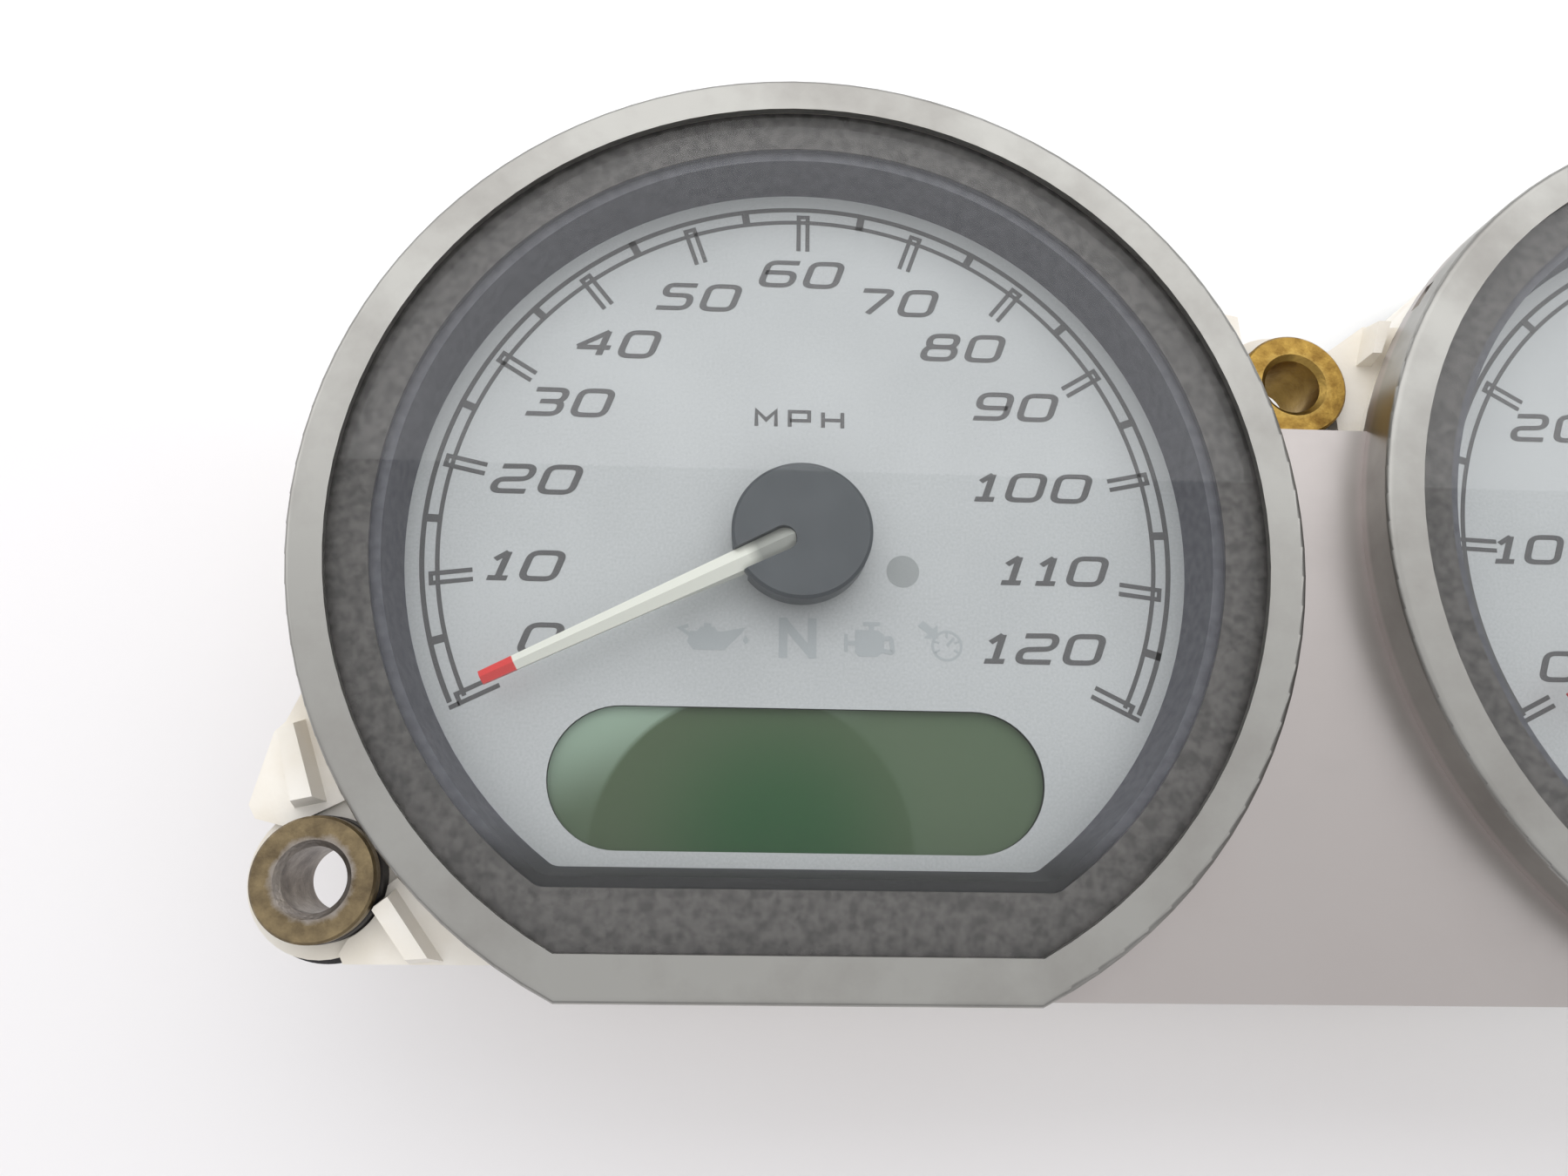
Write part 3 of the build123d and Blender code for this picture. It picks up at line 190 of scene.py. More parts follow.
# the trim: satin stainless, warm, with smudges, rub marks and a few short scratches
def brushedSteel():
    look = {"clean": "#a3a29e", "dull": "#95938f", "plate": "#b7b0ae", "plateTop": 34, "plateFade": 0.6,
            "smudge": 14, "rub": (9, 0.12), "scratch": (4, 0.05), "rough": (0.3, 0.44), "bump": 0.12}
    made, tree, shader = material("brushedStainlessSatin")
    place = add(tree, "TexCoord").outputs["Object"]
    smudge = add(tree, "TexNoise", {"Vector": place, "Scale": perMm(look["smudge"]), "Detail": 6,
                                    "Roughness": 0.6})
    # brushing runs along the plate, so its noise is stretched in x
    along = add(tree, "Mapping", {"Vector": place, "Scale": (perMm(look["rub"][0]), perMm(look["rub"][1]),
                                                             perMm(look["rub"][1]))})
    rub = add(tree, "TexNoise", {"Vector": along.outputs[0], "Scale": 1, "Detail": 2})
    across = add(tree, "Mapping", {"Vector": place, "Rotation": (0, 0, 0.7),
                                   "Scale": (perMm(look["scratch"][0]), perMm(look["scratch"][1]),
                                             perMm(look["scratch"][1]))})
    scratch = add(tree, "TexNoise", {"Vector": across.outputs[0], "Scale": 1, "Detail": 0})
    few = add(tree, "MapRange", {"Value": scratch.outputs["Fac"], "From Min": 0.74, "From Max": 0.8})
    tone = add(tree, "MapRange", {"Value": smudge.outputs["Fac"], "From Min": 0.4, "From Max": 0.68})
    bezel = add(tree, "Mix", {0: tone.outputs[0], 6: toLinear(look["clean"]), 7: toLinear(look["dull"])},
                data_type="RGBA")
    # the plate between the bezels is paler and a little pink
    height = add(tree, "SeparateXYZ", {0: place})
    plate = add(tree, "MapRange", {"Value": height.outputs[2], "To Max": 0.8,
                                   "From Min": (look["plateTop"] + look["plateFade"]) * mm,
                                   "From Max": look["plateTop"] * mm})
    colour = add(tree, "Mix", {0: plate.outputs[0], 6: bezel.outputs[2], 7: toLinear(look["plate"])},
                 data_type="RGBA")
    sheen = add(tree, "MapRange", {"Value": smudge.outputs["Fac"], "From Min": 0.3, "From Max": 0.7,
                                   "To Min": look["rough"][0], "To Max": look["rough"][1]})
    marks = add(tree, "Math", {0: rub.outputs["Fac"], 1: few.outputs[0]}, operation="ADD")
    bump = add(tree, "Bump", {"Height": marks.outputs[0], "Strength": look["bump"], "Distance": 0.02 * mm})
    tree.links.new(colour.outputs[2], shader.inputs["Base Color"])
    tree.links.new(sheen.outputs[0], shader.inputs["Roughness"])
    tree.links.new(bump.outputs[0], shader.inputs["Normal"])
    shader.inputs["Metallic"].default_value = 1
    return made


finish["brushed_stainless"] = brushedSteel()


# sleeves: turned brass gone brown, its bore rim rubbed grey and bright where the bolt sat
def agedBrass(name, node, look):
    corner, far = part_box(node)
    made, tree, shader = material(name)
    place = add(tree, "TexCoord").outputs["Object"]
    patch = add(tree, "TexNoise", {"Vector": place, "Scale": perMm(look["patch"]), "Detail": 6,
                                   "Roughness": 0.65})
    spread = add(tree, "MapRange", {"Value": patch.outputs["Fac"], "From Min": 0.28, "From Max": 0.72})
    metal = add(tree, "Mix", {0: spread.outputs[0], 6: toLinear(look["bright"]),
                              7: toLinear(look["brown"])}, data_type="RGBA")
    # the two lower sleeves mirror each other, so |x| serves both
    parts = add(tree, "SeparateXYZ", {0: place})
    side = add(tree, "Math", {0: parts.outputs[0]}, operation="ABSOLUTE")
    fromAxis = add(tree, "CombineXYZ", {0: side.outputs[0], 1: parts.outputs[1]})
    axis = (abs(corner.x + far.x) / 2, (corner.y + far.y) / 2, 0)
    out = add(tree, "VectorMath", {0: fromAxis.outputs[0], 1: axis}, operation="DISTANCE")
    wander = add(tree, "Math", {0: patch.outputs["Fac"], 1: look["wander"] * mm,
                                2: out.outputs["Value"]},
                 operation="MULTIPLY_ADD")
    rubbed = add(tree, "MapRange", {"Value": wander.outputs[0], "From Min": look["rim"][0] * mm,
                                    "From Max": look["rim"][1] * mm, "To Max": look["rub"]})
    colour = add(tree, "Mix", {0: rubbed.outputs[0], 6: metal.outputs[2], 7: toLinear(look["rubbed"])},
                 data_type="RGBA")
    sheen = add(tree, "MapRange", {"Value": patch.outputs["Fac"], "From Min": 0.3, "From Max": 0.7,
                                   "To Min": look["rough"][0], "To Max": look["rough"][1]})
    fine = add(tree, "TexNoise", {"Vector": place, "Scale": perMm(look["ring"]), "Detail": 3})
    bump = add(tree, "Bump", {"Height": fine.outputs["Fac"], "Strength": look["bump"],
                              "Distance": 0.1 * mm})
    tree.links.new(colour.outputs[2], shader.inputs["Base Color"])
    tree.links.new(sheen.outputs[0], shader.inputs["Roughness"])
    tree.links.new(bump.outputs[0], shader.inputs["Normal"])
    shader.inputs["Metallic"].default_value = 1
    return made


finish["aged_brass"] = agedBrass("turnedBrassTarnished", "left_sleeve", {
    "bright": "#988767", "brown": "#5c5040", "rubbed": "#a19d9d", "rub": 0.6, "rim": (5.7, 5.1),
    "wander": 2.4, "patch": 2.6, "ring": 0.35, "rough": (0.28, 0.55), "bump": 0.45})
# the upper sleeve stayed dry, so it is still golden
goldenBrass = agedBrass("turnedBrassGolden", "top_sleeve", {
    "bright": "#a98a46", "brown": "#77592b", "rubbed": "#ae9354", "rub": 0.4, "rim": (5.7, 5.1),
    "wander": 2.4, "patch": 1.6, "ring": 0.3, "rough": (0.26, 0.45), "bump": 0.35})


# mask rings: warm dark grey with a moulded texture on the front; from the lip down a bluer grey, a painted
# bluish reflection, and near black on the straight side, a painted shade;
# the grain is drawn coarser than a mould leaves it, so that it shows
def maskPlastic():
    look = {"front": ("#5a5654", "#3d3a38"), "wall": ("#5a5a60", "#4a4a51"), "low": "#0a0a0c", "grain": 1.1,
            "rough": 0.62, "bump": 0.35, "lip": (0.25, 0.1), "flatSide": (31, 36)}
    made, tree, shader = material("mouldedAbsTexturedGrey")
    place = add(tree, "TexCoord").outputs["Object"]
    grain = add(tree, "TexNoise", {"Vector": place, "Scale": perMm(look["grain"]), "Detail": 3})
    spread = add(tree, "MapRange", {"Value": grain.outputs["Fac"], "From Min": 0.35, "From Max": 0.65})
    front = add(tree, "Mix", {0: spread.outputs[0], 6: toLinear(look["front"][0]),
                              7: toLinear(look["front"][1])}, data_type="RGBA")
    # below the lip the bluer grey is a painted bluish reflection
    wall = add(tree, "Mix", {0: spread.outputs[0], 6: toLinear(look["wall"][0]),
                             7: toLinear(look["wall"][1])}, data_type="RGBA")
    height = add(tree, "SeparateXYZ", {0: place})
    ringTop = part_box("speedo_mask_ring")[1].z
    flat = add(tree, "MapRange", {"Value": height.outputs[2], "From Min": ringTop - look["lip"][0] * mm,
                                  "From Max": ringTop - look["lip"][1] * mm})
    # painted shade: the straight wall along the flat side is painted near black, as the shadow in the recess
    flatSidePaintedShade = add(tree, "MapRange", {"Value": height.outputs[1], "From Min": dialY - look["flatSide"][0] * mm,
                                    "From Max": dialY - look["flatSide"][1] * mm})
    shade = add(tree, "Mix", {0: flatSidePaintedShade.outputs[0], 6: wall.outputs[2], 7: toLinear(look["low"])},
                data_type="RGBA")
    colour = add(tree, "Mix", {0: flat.outputs[0], 6: shade.outputs[2], 7: front.outputs[2]},
                 data_type="RGBA")
    bump = add(tree, "Bump", {"Height": grain.outputs["Fac"], "Strength": look["bump"],
                              "Distance": 0.15 * mm})
    tree.links.new(colour.outputs[2], shader.inputs["Base Color"])
    tree.links.new(bump.outputs[0], shader.inputs["Normal"])
    shader.inputs["Roughness"].default_value = look["rough"]
    return made


finish["grey_textured_plastic"] = maskPlastic()


# dials: silver-grey ink with a metallic grain, which keeps the face from looking like paper;
# the flake is drawn coarser than it is in such an ink, so that it shows
def silverDial():
    # edge is the painted shade on the sheet's upright cut edges
    look = {"colours": ("#babcbd", "#adafb0"), "edge": "#1a1d1c", "flake": 0.3, "cloud": 22, "rough": 0.5,
            "metal": 0.25}
    made, tree, shader = material("silverScreenInk")
    place = add(tree, "TexCoord").outputs["Object"]
    flake = add(tree, "TexNoise", {"Vector": place, "Scale": perMm(look["flake"]), "Detail": 1})
    cloud = add(tree, "TexNoise", {"Vector": place, "Scale": perMm(look["cloud"]), "Detail": 2})
    both = add(tree, "Math", {0: flake.outputs["Fac"], 1: cloud.outputs["Fac"]}, operation="ADD")
    spread = add(tree, "MapRange", {"Value": both.outputs[0], "From Min": 0.7, "From Max": 1.3})
    face = add(tree, "Mix", {0: spread.outputs[0], 6: toLinear(look["colours"][0]),
                             7: toLinear(look["colours"][1])}, data_type="RGBA")
    # painted shade: the sheet's upright cut edges are painted near black, the shadow along the edges of its
    # recesses
    facing = add(tree, "SeparateXYZ", {0: add(tree, "TexCoord").outputs["Normal"]})
    faceUp = add(tree, "MapRange", {"Value": facing.outputs[2], "From Min": 0.4, "From Max": 0.6})
    colour = add(tree, "Mix", {0: faceUp.outputs[0], 6: toLinear(look["edge"]), 7: face.outputs[2]},
                 data_type="RGBA")
    tree.links.new(colour.outputs[2], shader.inputs["Base Color"])
    shader.inputs["Roughness"].default_value = look["rough"]
    shader.inputs["Metallic"].default_value = look["metal"]
    return made


finish["silver_dial"] = silverDial()


# clear acrylic: lamps pass straight through it, and it keeps its own faint mirror of the room
def clearPane(name, look):
    made, tree, shader = material(name)
    place = add(tree, "TexCoord").outputs["Object"]
    hazeAndReflection = add(tree, "TexNoise", {"Vector": place, "Scale": perMm(look["wipe"]), "Detail": 4})
    sheen = add(tree, "MapRange", {"Value": hazeAndReflection.outputs["Fac"], "From Min": 0.4, "From Max": 0.8,
                                   "To Min": 0.0, "To Max": look["hazeAndReflection"]})
    tree.links.new(sheen.outputs[0], shader.inputs["Roughness"])
    shader.inputs["Base Color"].default_value = toLinear(look["tint"])
    shader.inputs["Transmission Weight"].default_value = 1
    shader.inputs["IOR"].default_value = 1.3  # under acrylic's 1.49, as its mirror is so faint
    path = add(tree, "LightPath")
    lamp = add(tree, "Math", {0: path.outputs["Is Shadow Ray"], 1: path.outputs["Is Diffuse Ray"]},
               operation="MAXIMUM")
    through = add(tree, "BsdfTransparent", {"Color": toLinear(look["tint"])})
    mixed = add(tree, "MixShader", {0: lamp.outputs[0], 1: shader.outputs[0], 2: through.outputs[0]})
    tree.links.new(mixed.outputs[0], tree.nodes["Material Output"].inputs["Surface"])
    return made


finish["clear_pane"] = clearPane("hardCoatedAcrylicPane", {"tint": "#fafbfb", "wipe": 20, "hazeAndReflection": 0.02})
finish["clear_acrylic"] = clearPane("mouldedAcrylicGuide", {"tint": "#f2f6f5", "wipe": 8, "hazeAndReflection": 0.05})


# pointers: white to the eye, greyer at the root, the last few millimetres red
def needlePaint():
    look = {"white": "#e1e1d7", "root": "#999a94", "tip": "#d83c3a", "rootEnd": 6.6, "tipStart": 33.6,
            "rough": 0.32}
    made, tree, shader = material("mouldedAcrylicWhiteRedTip")
    place = add(tree, "TexCoord").outputs["Object"]
    parts = add(tree, "SeparateXYZ", {0: place})
    # a point takes the centre of the gauge on its own side of the middle
    side = add(tree, "Math", {0: parts.outputs[0], 1: 0.0}, operation="GREATER_THAN")
    centre = add(tree, "MapRange", {"Value": side.outputs[0], "To Min": speedoX, "To Max": tachX})
    dx = add(tree, "Math", {0: parts.outputs[0], 1: centre.outputs[0]}, operation="SUBTRACT")
    dy = add(tree, "Math", {0: parts.outputs[1], 1: dialY}, operation="SUBTRACT")
    flatPlace = add(tree, "CombineXYZ", {0: dx.outputs[0], 1: dy.outputs[0]})
    out = add(tree, "VectorMath", {0: flatPlace.outputs[0]}, operation="LENGTH")
    red = add(tree, "MapRange", {"Value": out.outputs["Value"], "From Min": look["tipStart"] * mm,
                                 "From Max": (look["tipStart"] + 0.1) * mm})
    pale = add(tree, "MapRange", {"Value": out.outputs["Value"], "From Min": (look["rootEnd"] - 1.4) * mm,
                                  "From Max": look["rootEnd"] * mm})
    body = add(tree, "Mix", {0: pale.outputs[0], 6: toLinear(look["root"]), 7: toLinear(look["white"])},
               data_type="RGBA")
    colour = add(tree, "Mix", {0: red.outputs[0], 6: body.outputs[2], 7: toLinear(look["tip"])},
                 data_type="RGBA")
    tree.links.new(colour.outputs[2], shader.inputs["Base Color"])
    shader.inputs["Roughness"].default_value = look["rough"]
    return made


finish["white_pointer"] = needlePaint()


# the display: unlit, a grey green, with a painted reflection that makes it paler towards its top left corner
def displayGreen():
    # deep, edge and pale are the display's green with a painted reflection over it; dome and domeFoot place
    # the edge of its dark part
    look = {"deep": "#284f2d", "edge": "#4b5a42", "pale": "#93a796", "deepReach": (3, 19), "dome": 17.3,
            "domeFoot": (0.42, 3), "rough": 0.3, "gleam": 0.15}
    corner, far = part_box("lcd_glass")
    middle = (corner + far) / 2
    made, tree, shader = material("liquidCrystalUnlitGreen")
    place = add(tree, "TexCoord").outputs["Object"]
    parts = add(tree, "SeparateXYZ", {0: place})
    # painted reflection: greenest low in the middle, where a dark reflection is painted over it, duller
    # towards the ends
    low = add(tree, "VectorMath", {0: place, 1: (middle.x - 2 * mm, corner.y + 4 * mm, middle.z)},
              operation="DISTANCE")
    outward = add(tree, "MapRange", {"Value": low.outputs["Value"], "From Min": look["deepReach"][0] * mm,
                                     "From Max": look["deepReach"][1] * mm},
                  interpolation_type="SMOOTHSTEP")
    ground = add(tree, "Mix", {0: outward.outputs[0], 6: toLinear(look["deep"]), 7: toLinear(look["edge"])},
                 data_type="RGBA")
    # the painted pale reflection grows towards the top left corner
    rise = add(tree, "MapRange", {"Value": parts.outputs[1], "From Min": corner.y, "From Max": far.y})
    left = add(tree, "MapRange", {"Value": parts.outputs[0], "From Min": far.x, "From Max": corner.x})
    both = add(tree, "Math", {0: rise.outputs[0], 1: left.outputs[0]}, operation="ADD")
    spread = add(tree, "MapRange", {"Value": both.outputs[0], "From Min": 1.15, "From Max": 1.7,
                                 "To Min": 0.08},
                 interpolation_type="SMOOTHSTEP")
    # painted reflection: the pale painted reflection stops at a curved edge, a dome standing on the lower
    # side, inside which it is dark
    foot = (corner.x + look["domeFoot"][0] * (far.x - corner.x), corner.y + look["domeFoot"][1] * mm, far.z)
    arch = add(tree, "VectorMath", {0: place, 1: foot}, operation="DISTANCE")
    outside = add(tree, "MapRange", {"Value": arch.outputs["Value"], "From Min": (look["dome"] - 0.3) * mm,
                                     "From Max": (look["dome"] + 0.3) * mm})
    hazeAndReflection = add(tree, "Math", {0: spread.outputs[0], 1: outside.outputs[0]}, operation="MULTIPLY")
    colour = add(tree, "Mix", {0: hazeAndReflection.outputs[0], 6: ground.outputs[2], 7: toLinear(look["pale"])},
                 data_type="RGBA")
    tree.links.new(colour.outputs[2], shader.inputs["Base Color"])
    shader.inputs["Roughness"].default_value = look["rough"]
    shader.inputs["Specular IOR Level"].default_value = look["gleam"]
    return made


finish["green_display"] = displayGreen()

# which nodes take which finish; a gauge's nodes come in pairs
nodeSlots = {
    "brushed_stainless": ["front_trim"],
    "white_housing": ["main_housing"],
    "black_plastic": ["rear_cover", "harness_socket"],
    "grey_vent": ["vent_plug"],
    "black_foam": ["cover_seal", "telltale_shroud", "*lens_seal"],
    "black_rubber": ["left_grommet", "right_grommet", "top_grommet"],
    "aged_brass": ["left_sleeve", "right_sleeve", "top_sleeve"],
    "grey_textured_plastic": ["*mask_ring"],
    "clear_pane": ["*lens"],
    "clear_acrylic": ["*light_guide", "lcd_diffuser"],
    "silver_dial": ["*dial"],
    "white_pointer": ["*pointer_blade", "*pointer_carrier"],
    "black_hub": ["*hub_cap"],
    "plain_steel": ["*spindle", "board_screws", "cover_screws", "socket_pins", "coil_terminals",
                    "lcd_pins"],
    "ferrite": ["*rotor_magnet"],
    "nickel_iron": ["*shield_can"],
    "copper_wire": ["*sine_coil", "*cosine_coil"],
    "white_nylon": ["*bobbin_upper", "*bobbin_lower", "lcd_light_box"],
    "green_board": ["circuit_board", "telltale_flex"],
    "chip_black": ["main_chip", "driver_chips", "voltage_regulator"],
    "capacitor_sleeve": ["capacitors"],
    "led_body": ["dial_leds", "lcd_leds", "telltale_leds"],
    "green_display": ["lcd_glass"],
}
painted = []
for slotName, names in nodeSlots.items():
    for name in names:
        for node in ([name] if name[0] != "*" else ["speedo_" + name[1:], "tach_" + name[1:]]):
            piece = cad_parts[node]
            piece.data.materials.clear()
            piece.data.materials.append(finish[slotName])
            painted.append(node)
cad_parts["top_sleeve"].data.materials[0] = goldenBrass
print("finishes on", len(painted), "of", len(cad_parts), "CAD nodes; left:",
      sorted(set(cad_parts) - set(painted)))


# dial printing, thin raised ink that rides with the cluster

ink = {"sink": 0.005, "thick": 0.03, "layer": 0.003}


def arcStrip(centre, inner, outer, start, end, step=2.0):
    count = max(1, round(abs(end - start) / step))
    verts, faces = [], []
    for i in range(count + 1):
        angle = radians(start + (end - start) * i / count)
        for radius in (inner, outer):
            verts.append((centre[0] + radius * cos(angle), centre[1] + radius * sin(angle)))
    for i in range(count):
        faces.append((2 * i, 2 * i + 1, 2 * i + 3, 2 * i + 2))
    return verts, faces


def radialBar(centre, angle, offset, width, inner, outer):
    out = (cos(radians(angle)), sin(radians(angle)))
    side = (-out[1], out[0])
    corners = [(inner, offset - width / 2), (outer, offset - width / 2), (outer, offset + width / 2),
               (inner, offset + width / 2)]
    verts = [(centre[0] + r * out[0] + s * side[0], centre[1] + r * out[1] + s * side[1])
             for r, s in corners]
    return verts, [(0, 1, 2, 3)]


# cuts each corner to an arc, less where the sides are short
def rounded(points, radius, closed):
    path, count = [], len(points)
    for i, corner in enumerate(points):
        if not closed and i in (0, count - 1):
            path.append(corner)
            continue
        here = Vector(corner)
        back = Vector(points[i - 1]) - here
        ahead = Vector(points[(i + 1) % count]) - here
        reach = min(radius, back.length * 0.49, ahead.length * 0.49)
        first, last = here + back.normalized() * reach, here + ahead.normalized() * reach
        for step in range(7):
            t = step / 6
            path.append(tuple(first * (1 - t) ** 2 + here * 2 * t * (1 - t) + last * t ** 2))
    return path


def ribbon(points, width, closed=False, radius=0.0):
    path = rounded(points, radius, closed) if radius else list(points)
    count = len(path)
    verts, faces = [], []
    for i, point in enumerate(path):
        here = Vector(point)
        before = Vector(path[i - 1]) if closed or i > 0 else None
        after = Vector(path[(i + 1) % count]) if closed or i < count - 1 else None
        into = (here - before).normalized() if before is not None else (after - here).normalized()
        onward = (after - here).normalized() if after is not None else into
        across = Vector((-(into.y + onward.y), into.x + onward.x)).normalized()
        stretch = 1 / max(0.5, across.dot(Vector((-into.y, into.x))))
        for side in (-1, 1):
            verts.append(tuple(here + across * side * stretch * width / 2))
    for i in range(count if closed else count - 1):
        j = (i + 1) % count
        faces.append((2 * i, 2 * j, 2 * j + 1, 2 * i + 1))
    return verts, faces


def join(shapes, move=(0, 0), slant=0.0):
    verts, faces = [], []
    for shapeVerts, shapeFaces in shapes:
        base = len(verts)
        verts += [(x + slant * y + move[0], y + move[1]) for x, y in shapeVerts]
        faces += [tuple(base + k for k in face) for face in shapeFaces]
    return verts, faces


def printPiece(name, shapes, inkMaterial):
    verts, faces, heights = [], [], []
    for i, (shapeVerts, shapeFaces) in enumerate(shapes):
        base = len(verts)
        verts += shapeVerts
        faces += [tuple(base + k for k in face) for face in shapeFaces]
        heights += [i % 7 * ink["layer"]] * len(shapeVerts)  # never level with the stroke before
    upright = []
    for face in faces:  # ink faces up whichever way its outline ran
        area = sum(verts[a][0] * verts[b][1] - verts[b][0] * verts[a][1]
                   for a, b in zip(face, face[1:] + face[:1]))
        upright.append(face if area > 0 else face[::-1])
    made = meshPiece(name, [(x * mm, y * mm, dialTop + (rise - ink["sink"]) * mm)
                            for (x, y), rise in zip(verts, heights)], upright, thick=ink["thick"] * mm)
    made.data.materials.append(inkMaterial)
    return made


# centre lines of the wide squared figures, each in a unit box; the flag says whether the line closes
figures = {
    "0": [([(0, 0), (1, 0), (1, 1), (0, 1)], True)],
    "1": [([(0.1, 0.7), (0.62, 1)], False), ([(0.62, 1), (0.62, 0)], False), ([(0.1, 0), (1.1, 0)], False)],
    "2": [([(0, 0.98), (1, 1), (1, 0.5), (0, 0.46), (0, 0), (1.04, 0)], False)],
    "3": [([(0, 1), (1, 1), (1, 0.52), (0.28, 0.52)], False),
          ([(0.28, 0.52), (1, 0.52), (1, 0), (0, 0)], False)],
    "4": [([(0.8, 1), (0.8, 0)], False), ([(0.84, 1), (0.0, 0.34)], False),
          ([(0, 0.32), (1.08, 0.32)], False)],
    "5": [([(1.04, 1), (0.08, 1), (0.08, 0.56), (1, 0.56), (1, 0), (0, 0)], False)],
    "6": [([(1.02, 1), (0, 1), (0, 0), (1, 0), (1, 0.56), (0, 0.56)], False)],
    "7": [([(0, 1), (1.04, 1), (0.42, 0.0)], False)],
    "8": [([(0.05, 0.52), (0.95, 0.52), (0.95, 1), (0.05, 1)], True),
          ([(0, 0), (1, 0), (1, 0.52), (0, 0.52)], True)],
    "9": [([(-0.02, 0), (1, 0), (1, 1), (0, 1), (0, 0.44), (1, 0.44)], False)],
    "M": [([(0, 0), (0, 1), (0.5, 0.42), (1, 1), (1, 0)], False)],
    "P": [([(0, 0), (0, 1), (1, 1), (1, 0.42), (0, 0.42)], False)],
    "H": [([(0, 0), (0, 1)], False), ([(1, 0), (1, 1)], False), ([(0, 0.5), (1, 0.5)], False)],
    "R": [([(0, 0), (0, 1), (1, 1), (1, 0.44), (0, 0.44)], False), ([(0.5, 0.44), (1, 0)], False)],
    "x": [([(0, 0), (0.8, 0.7)], False), ([(0, 0.7), (0.8, 0)], False)],
}
narrow = {"1": 0.62}  # the 1 is this much of the other figures' width


# the text's strokes, centred on a point of the dial; level strokes come out thinner than upright ones
def lettering(text, style, centre):
    shapes, squeeze = [], style["contrast"]
    between = style["advance"] - style["wide"]
    widths = [narrow.get(letter, 1) * (style["wide"] - style["stroke"]) for letter in text]
    left = -(sum(widths) + len(text) * style["stroke"] + (len(text) - 1) * between) / 2
    rise = style["high"] - style["stroke"] / squeeze
    for letter, width in zip(text, widths):
        for points, closed in figures[letter]:
            path = [(left + style["stroke"] / 2 + x * width, (y - 0.5) * rise * squeeze) for x, y in points]
            verts, faces = ribbon(path, style["stroke"], closed, style["round"])
            verts = [(x, y / squeeze) for x, y in verts]
            shapes.append(join([(verts, faces)], centre, style["slant"]))
        left += width + style["stroke"] + between
    return shapes


def printInk(name, colours):
    made, tree, shader = material(name)
    place = add(tree, "TexCoord").outputs["Object"]
    grain = add(tree, "TexNoise", {"Vector": place, "Scale": perMm(0.25), "Detail": 2})
    colour = add(tree, "Mix", {0: grain.outputs["Fac"], 6: toLinear(colours[0]), 7: toLinear(colours[1])},
                 data_type="RGBA")
    tree.links.new(colour.outputs[2], shader.inputs["Base Color"])
    return made


darkInk = printInk("screenInkDarkGrey", ("#5a595a", "#4e4d4e"))
faintInk = printInk("screenInkFaintGrey", ("#a5a9ab", "#a0a4a6"))  # telltale windows, unlit
dotInk = printInk("sensorWindowGrey", ("#989b9b", "#929595"))

sweep = {"start": 206.65, "end": -26.65}
scaleLook = {"outer": (41.63, 42.2), "inner": (39.98, 40.48), "tick": (36.4, 41.2), "line": 0.51,
             "apart": 1.07, "block": 0.9, "cap": 0.5}
figureStyle = {"high": 3.57, "wide": 4.35, "advance": 5.25, "stroke": 0.8, "contrast": 1.4, "round": 1.1,
               "slant": 0.36}
wordStyle = {"high": 2.3, "wide": 2.7, "advance": 3.85, "stroke": 0.46, "contrast": 1.1, "round": 0.0,
             "slant": 0.0}


def scaleMarks(centre, steps):
    look, shapes = scaleLook, []
    gap = (sweep["start"] - sweep["end"]) / steps
    for band in (look["outer"], look["inner"]):
        shapes.append(arcStrip(centre, band[0], band[1], sweep["start"], sweep["end"]))
    for i in range(steps + 1):
        angle = sweep["start"] - i * gap
        for side in (-0.5, 0.5):
            shapes.append(radialBar(centre, angle, side * look["apart"], look["line"], *look["tick"]))
        shapes.append(radialBar(centre, angle, 0, look["apart"] + look["line"],
                                look["tick"][1] - look["cap"], look["tick"][1]))
        if i < steps:
            shapes.append(radialBar(centre, angle - gap / 2, 0, look["block"], look["inner"][0],
                                    look["outer"][1]))
    for end, turn in ((sweep["start"], 1), (sweep["end"], -1)):
        shapes.append(radialBar(centre, end, turn * look["apart"] / 2, look["line"], look["tick"][1] - 0.2,
                                look["outer"][1]))
    return shapes


speedo = (speedoX / mm, dialY / mm)
tach = (tachX / mm, dialY / mm)
speedPlaces = {"0": (-28.2, -11.6), "10": (-30.5, -3.4), "20": (-29.8, 6.7), "30": (-26.65, 16.1),
               "40": (-21.6, 23.6), "50": (-12.3, 29.9), "60": (-0.1, 33.3), "70": (11.2, 30.0),
               "80": (19.1, 24.4), "90": (25.1, 17.1), "100": (26.65, 7.2), "110": (28.7, -2.6),
               "120": (27.2, -11.6)}
revPlaces = {"0": (-31.0, -12.4), "10": (-32.7, 1.3), "20": (-27.6, 16.4), "30": (-15.4, 27.6),
             "40": (0, 32.3), "50": (15.4, 27.6), "60": (26.8, 16.4), "70": (29.6, 1.3),
             "80": (27.6, -12.4)}

for gauge, centre, places, words in (
        ("speedo", speedo, speedPlaces, [("MPH", (-0.2, 14.8))]),
        ("tach", tach, revPlaces, [("RPM", (-0.2, 14.8)), ("x100", (0, 10.6))])):
    printPiece(gauge + "_scale_marks", scaleMarks(centre, len(places) - 1), darkInk)
    shapes = []
    for text, (x, y) in places.items():
        shapes += lettering(text, figureStyle, (centre[0] + x, centre[1] + y))
    printPiece(gauge + "_figures", shapes, darkInk)
    shapes = []
    for text, (x, y) in words:
        shapes += lettering(text, wordStyle, (centre[0] + x, centre[1] + y))
    printPiece(gauge + "_unit_name", shapes, darkInk)
print("scales and figures printed on both dials")


def blob(points):
    return points, [tuple(range(len(points)))]


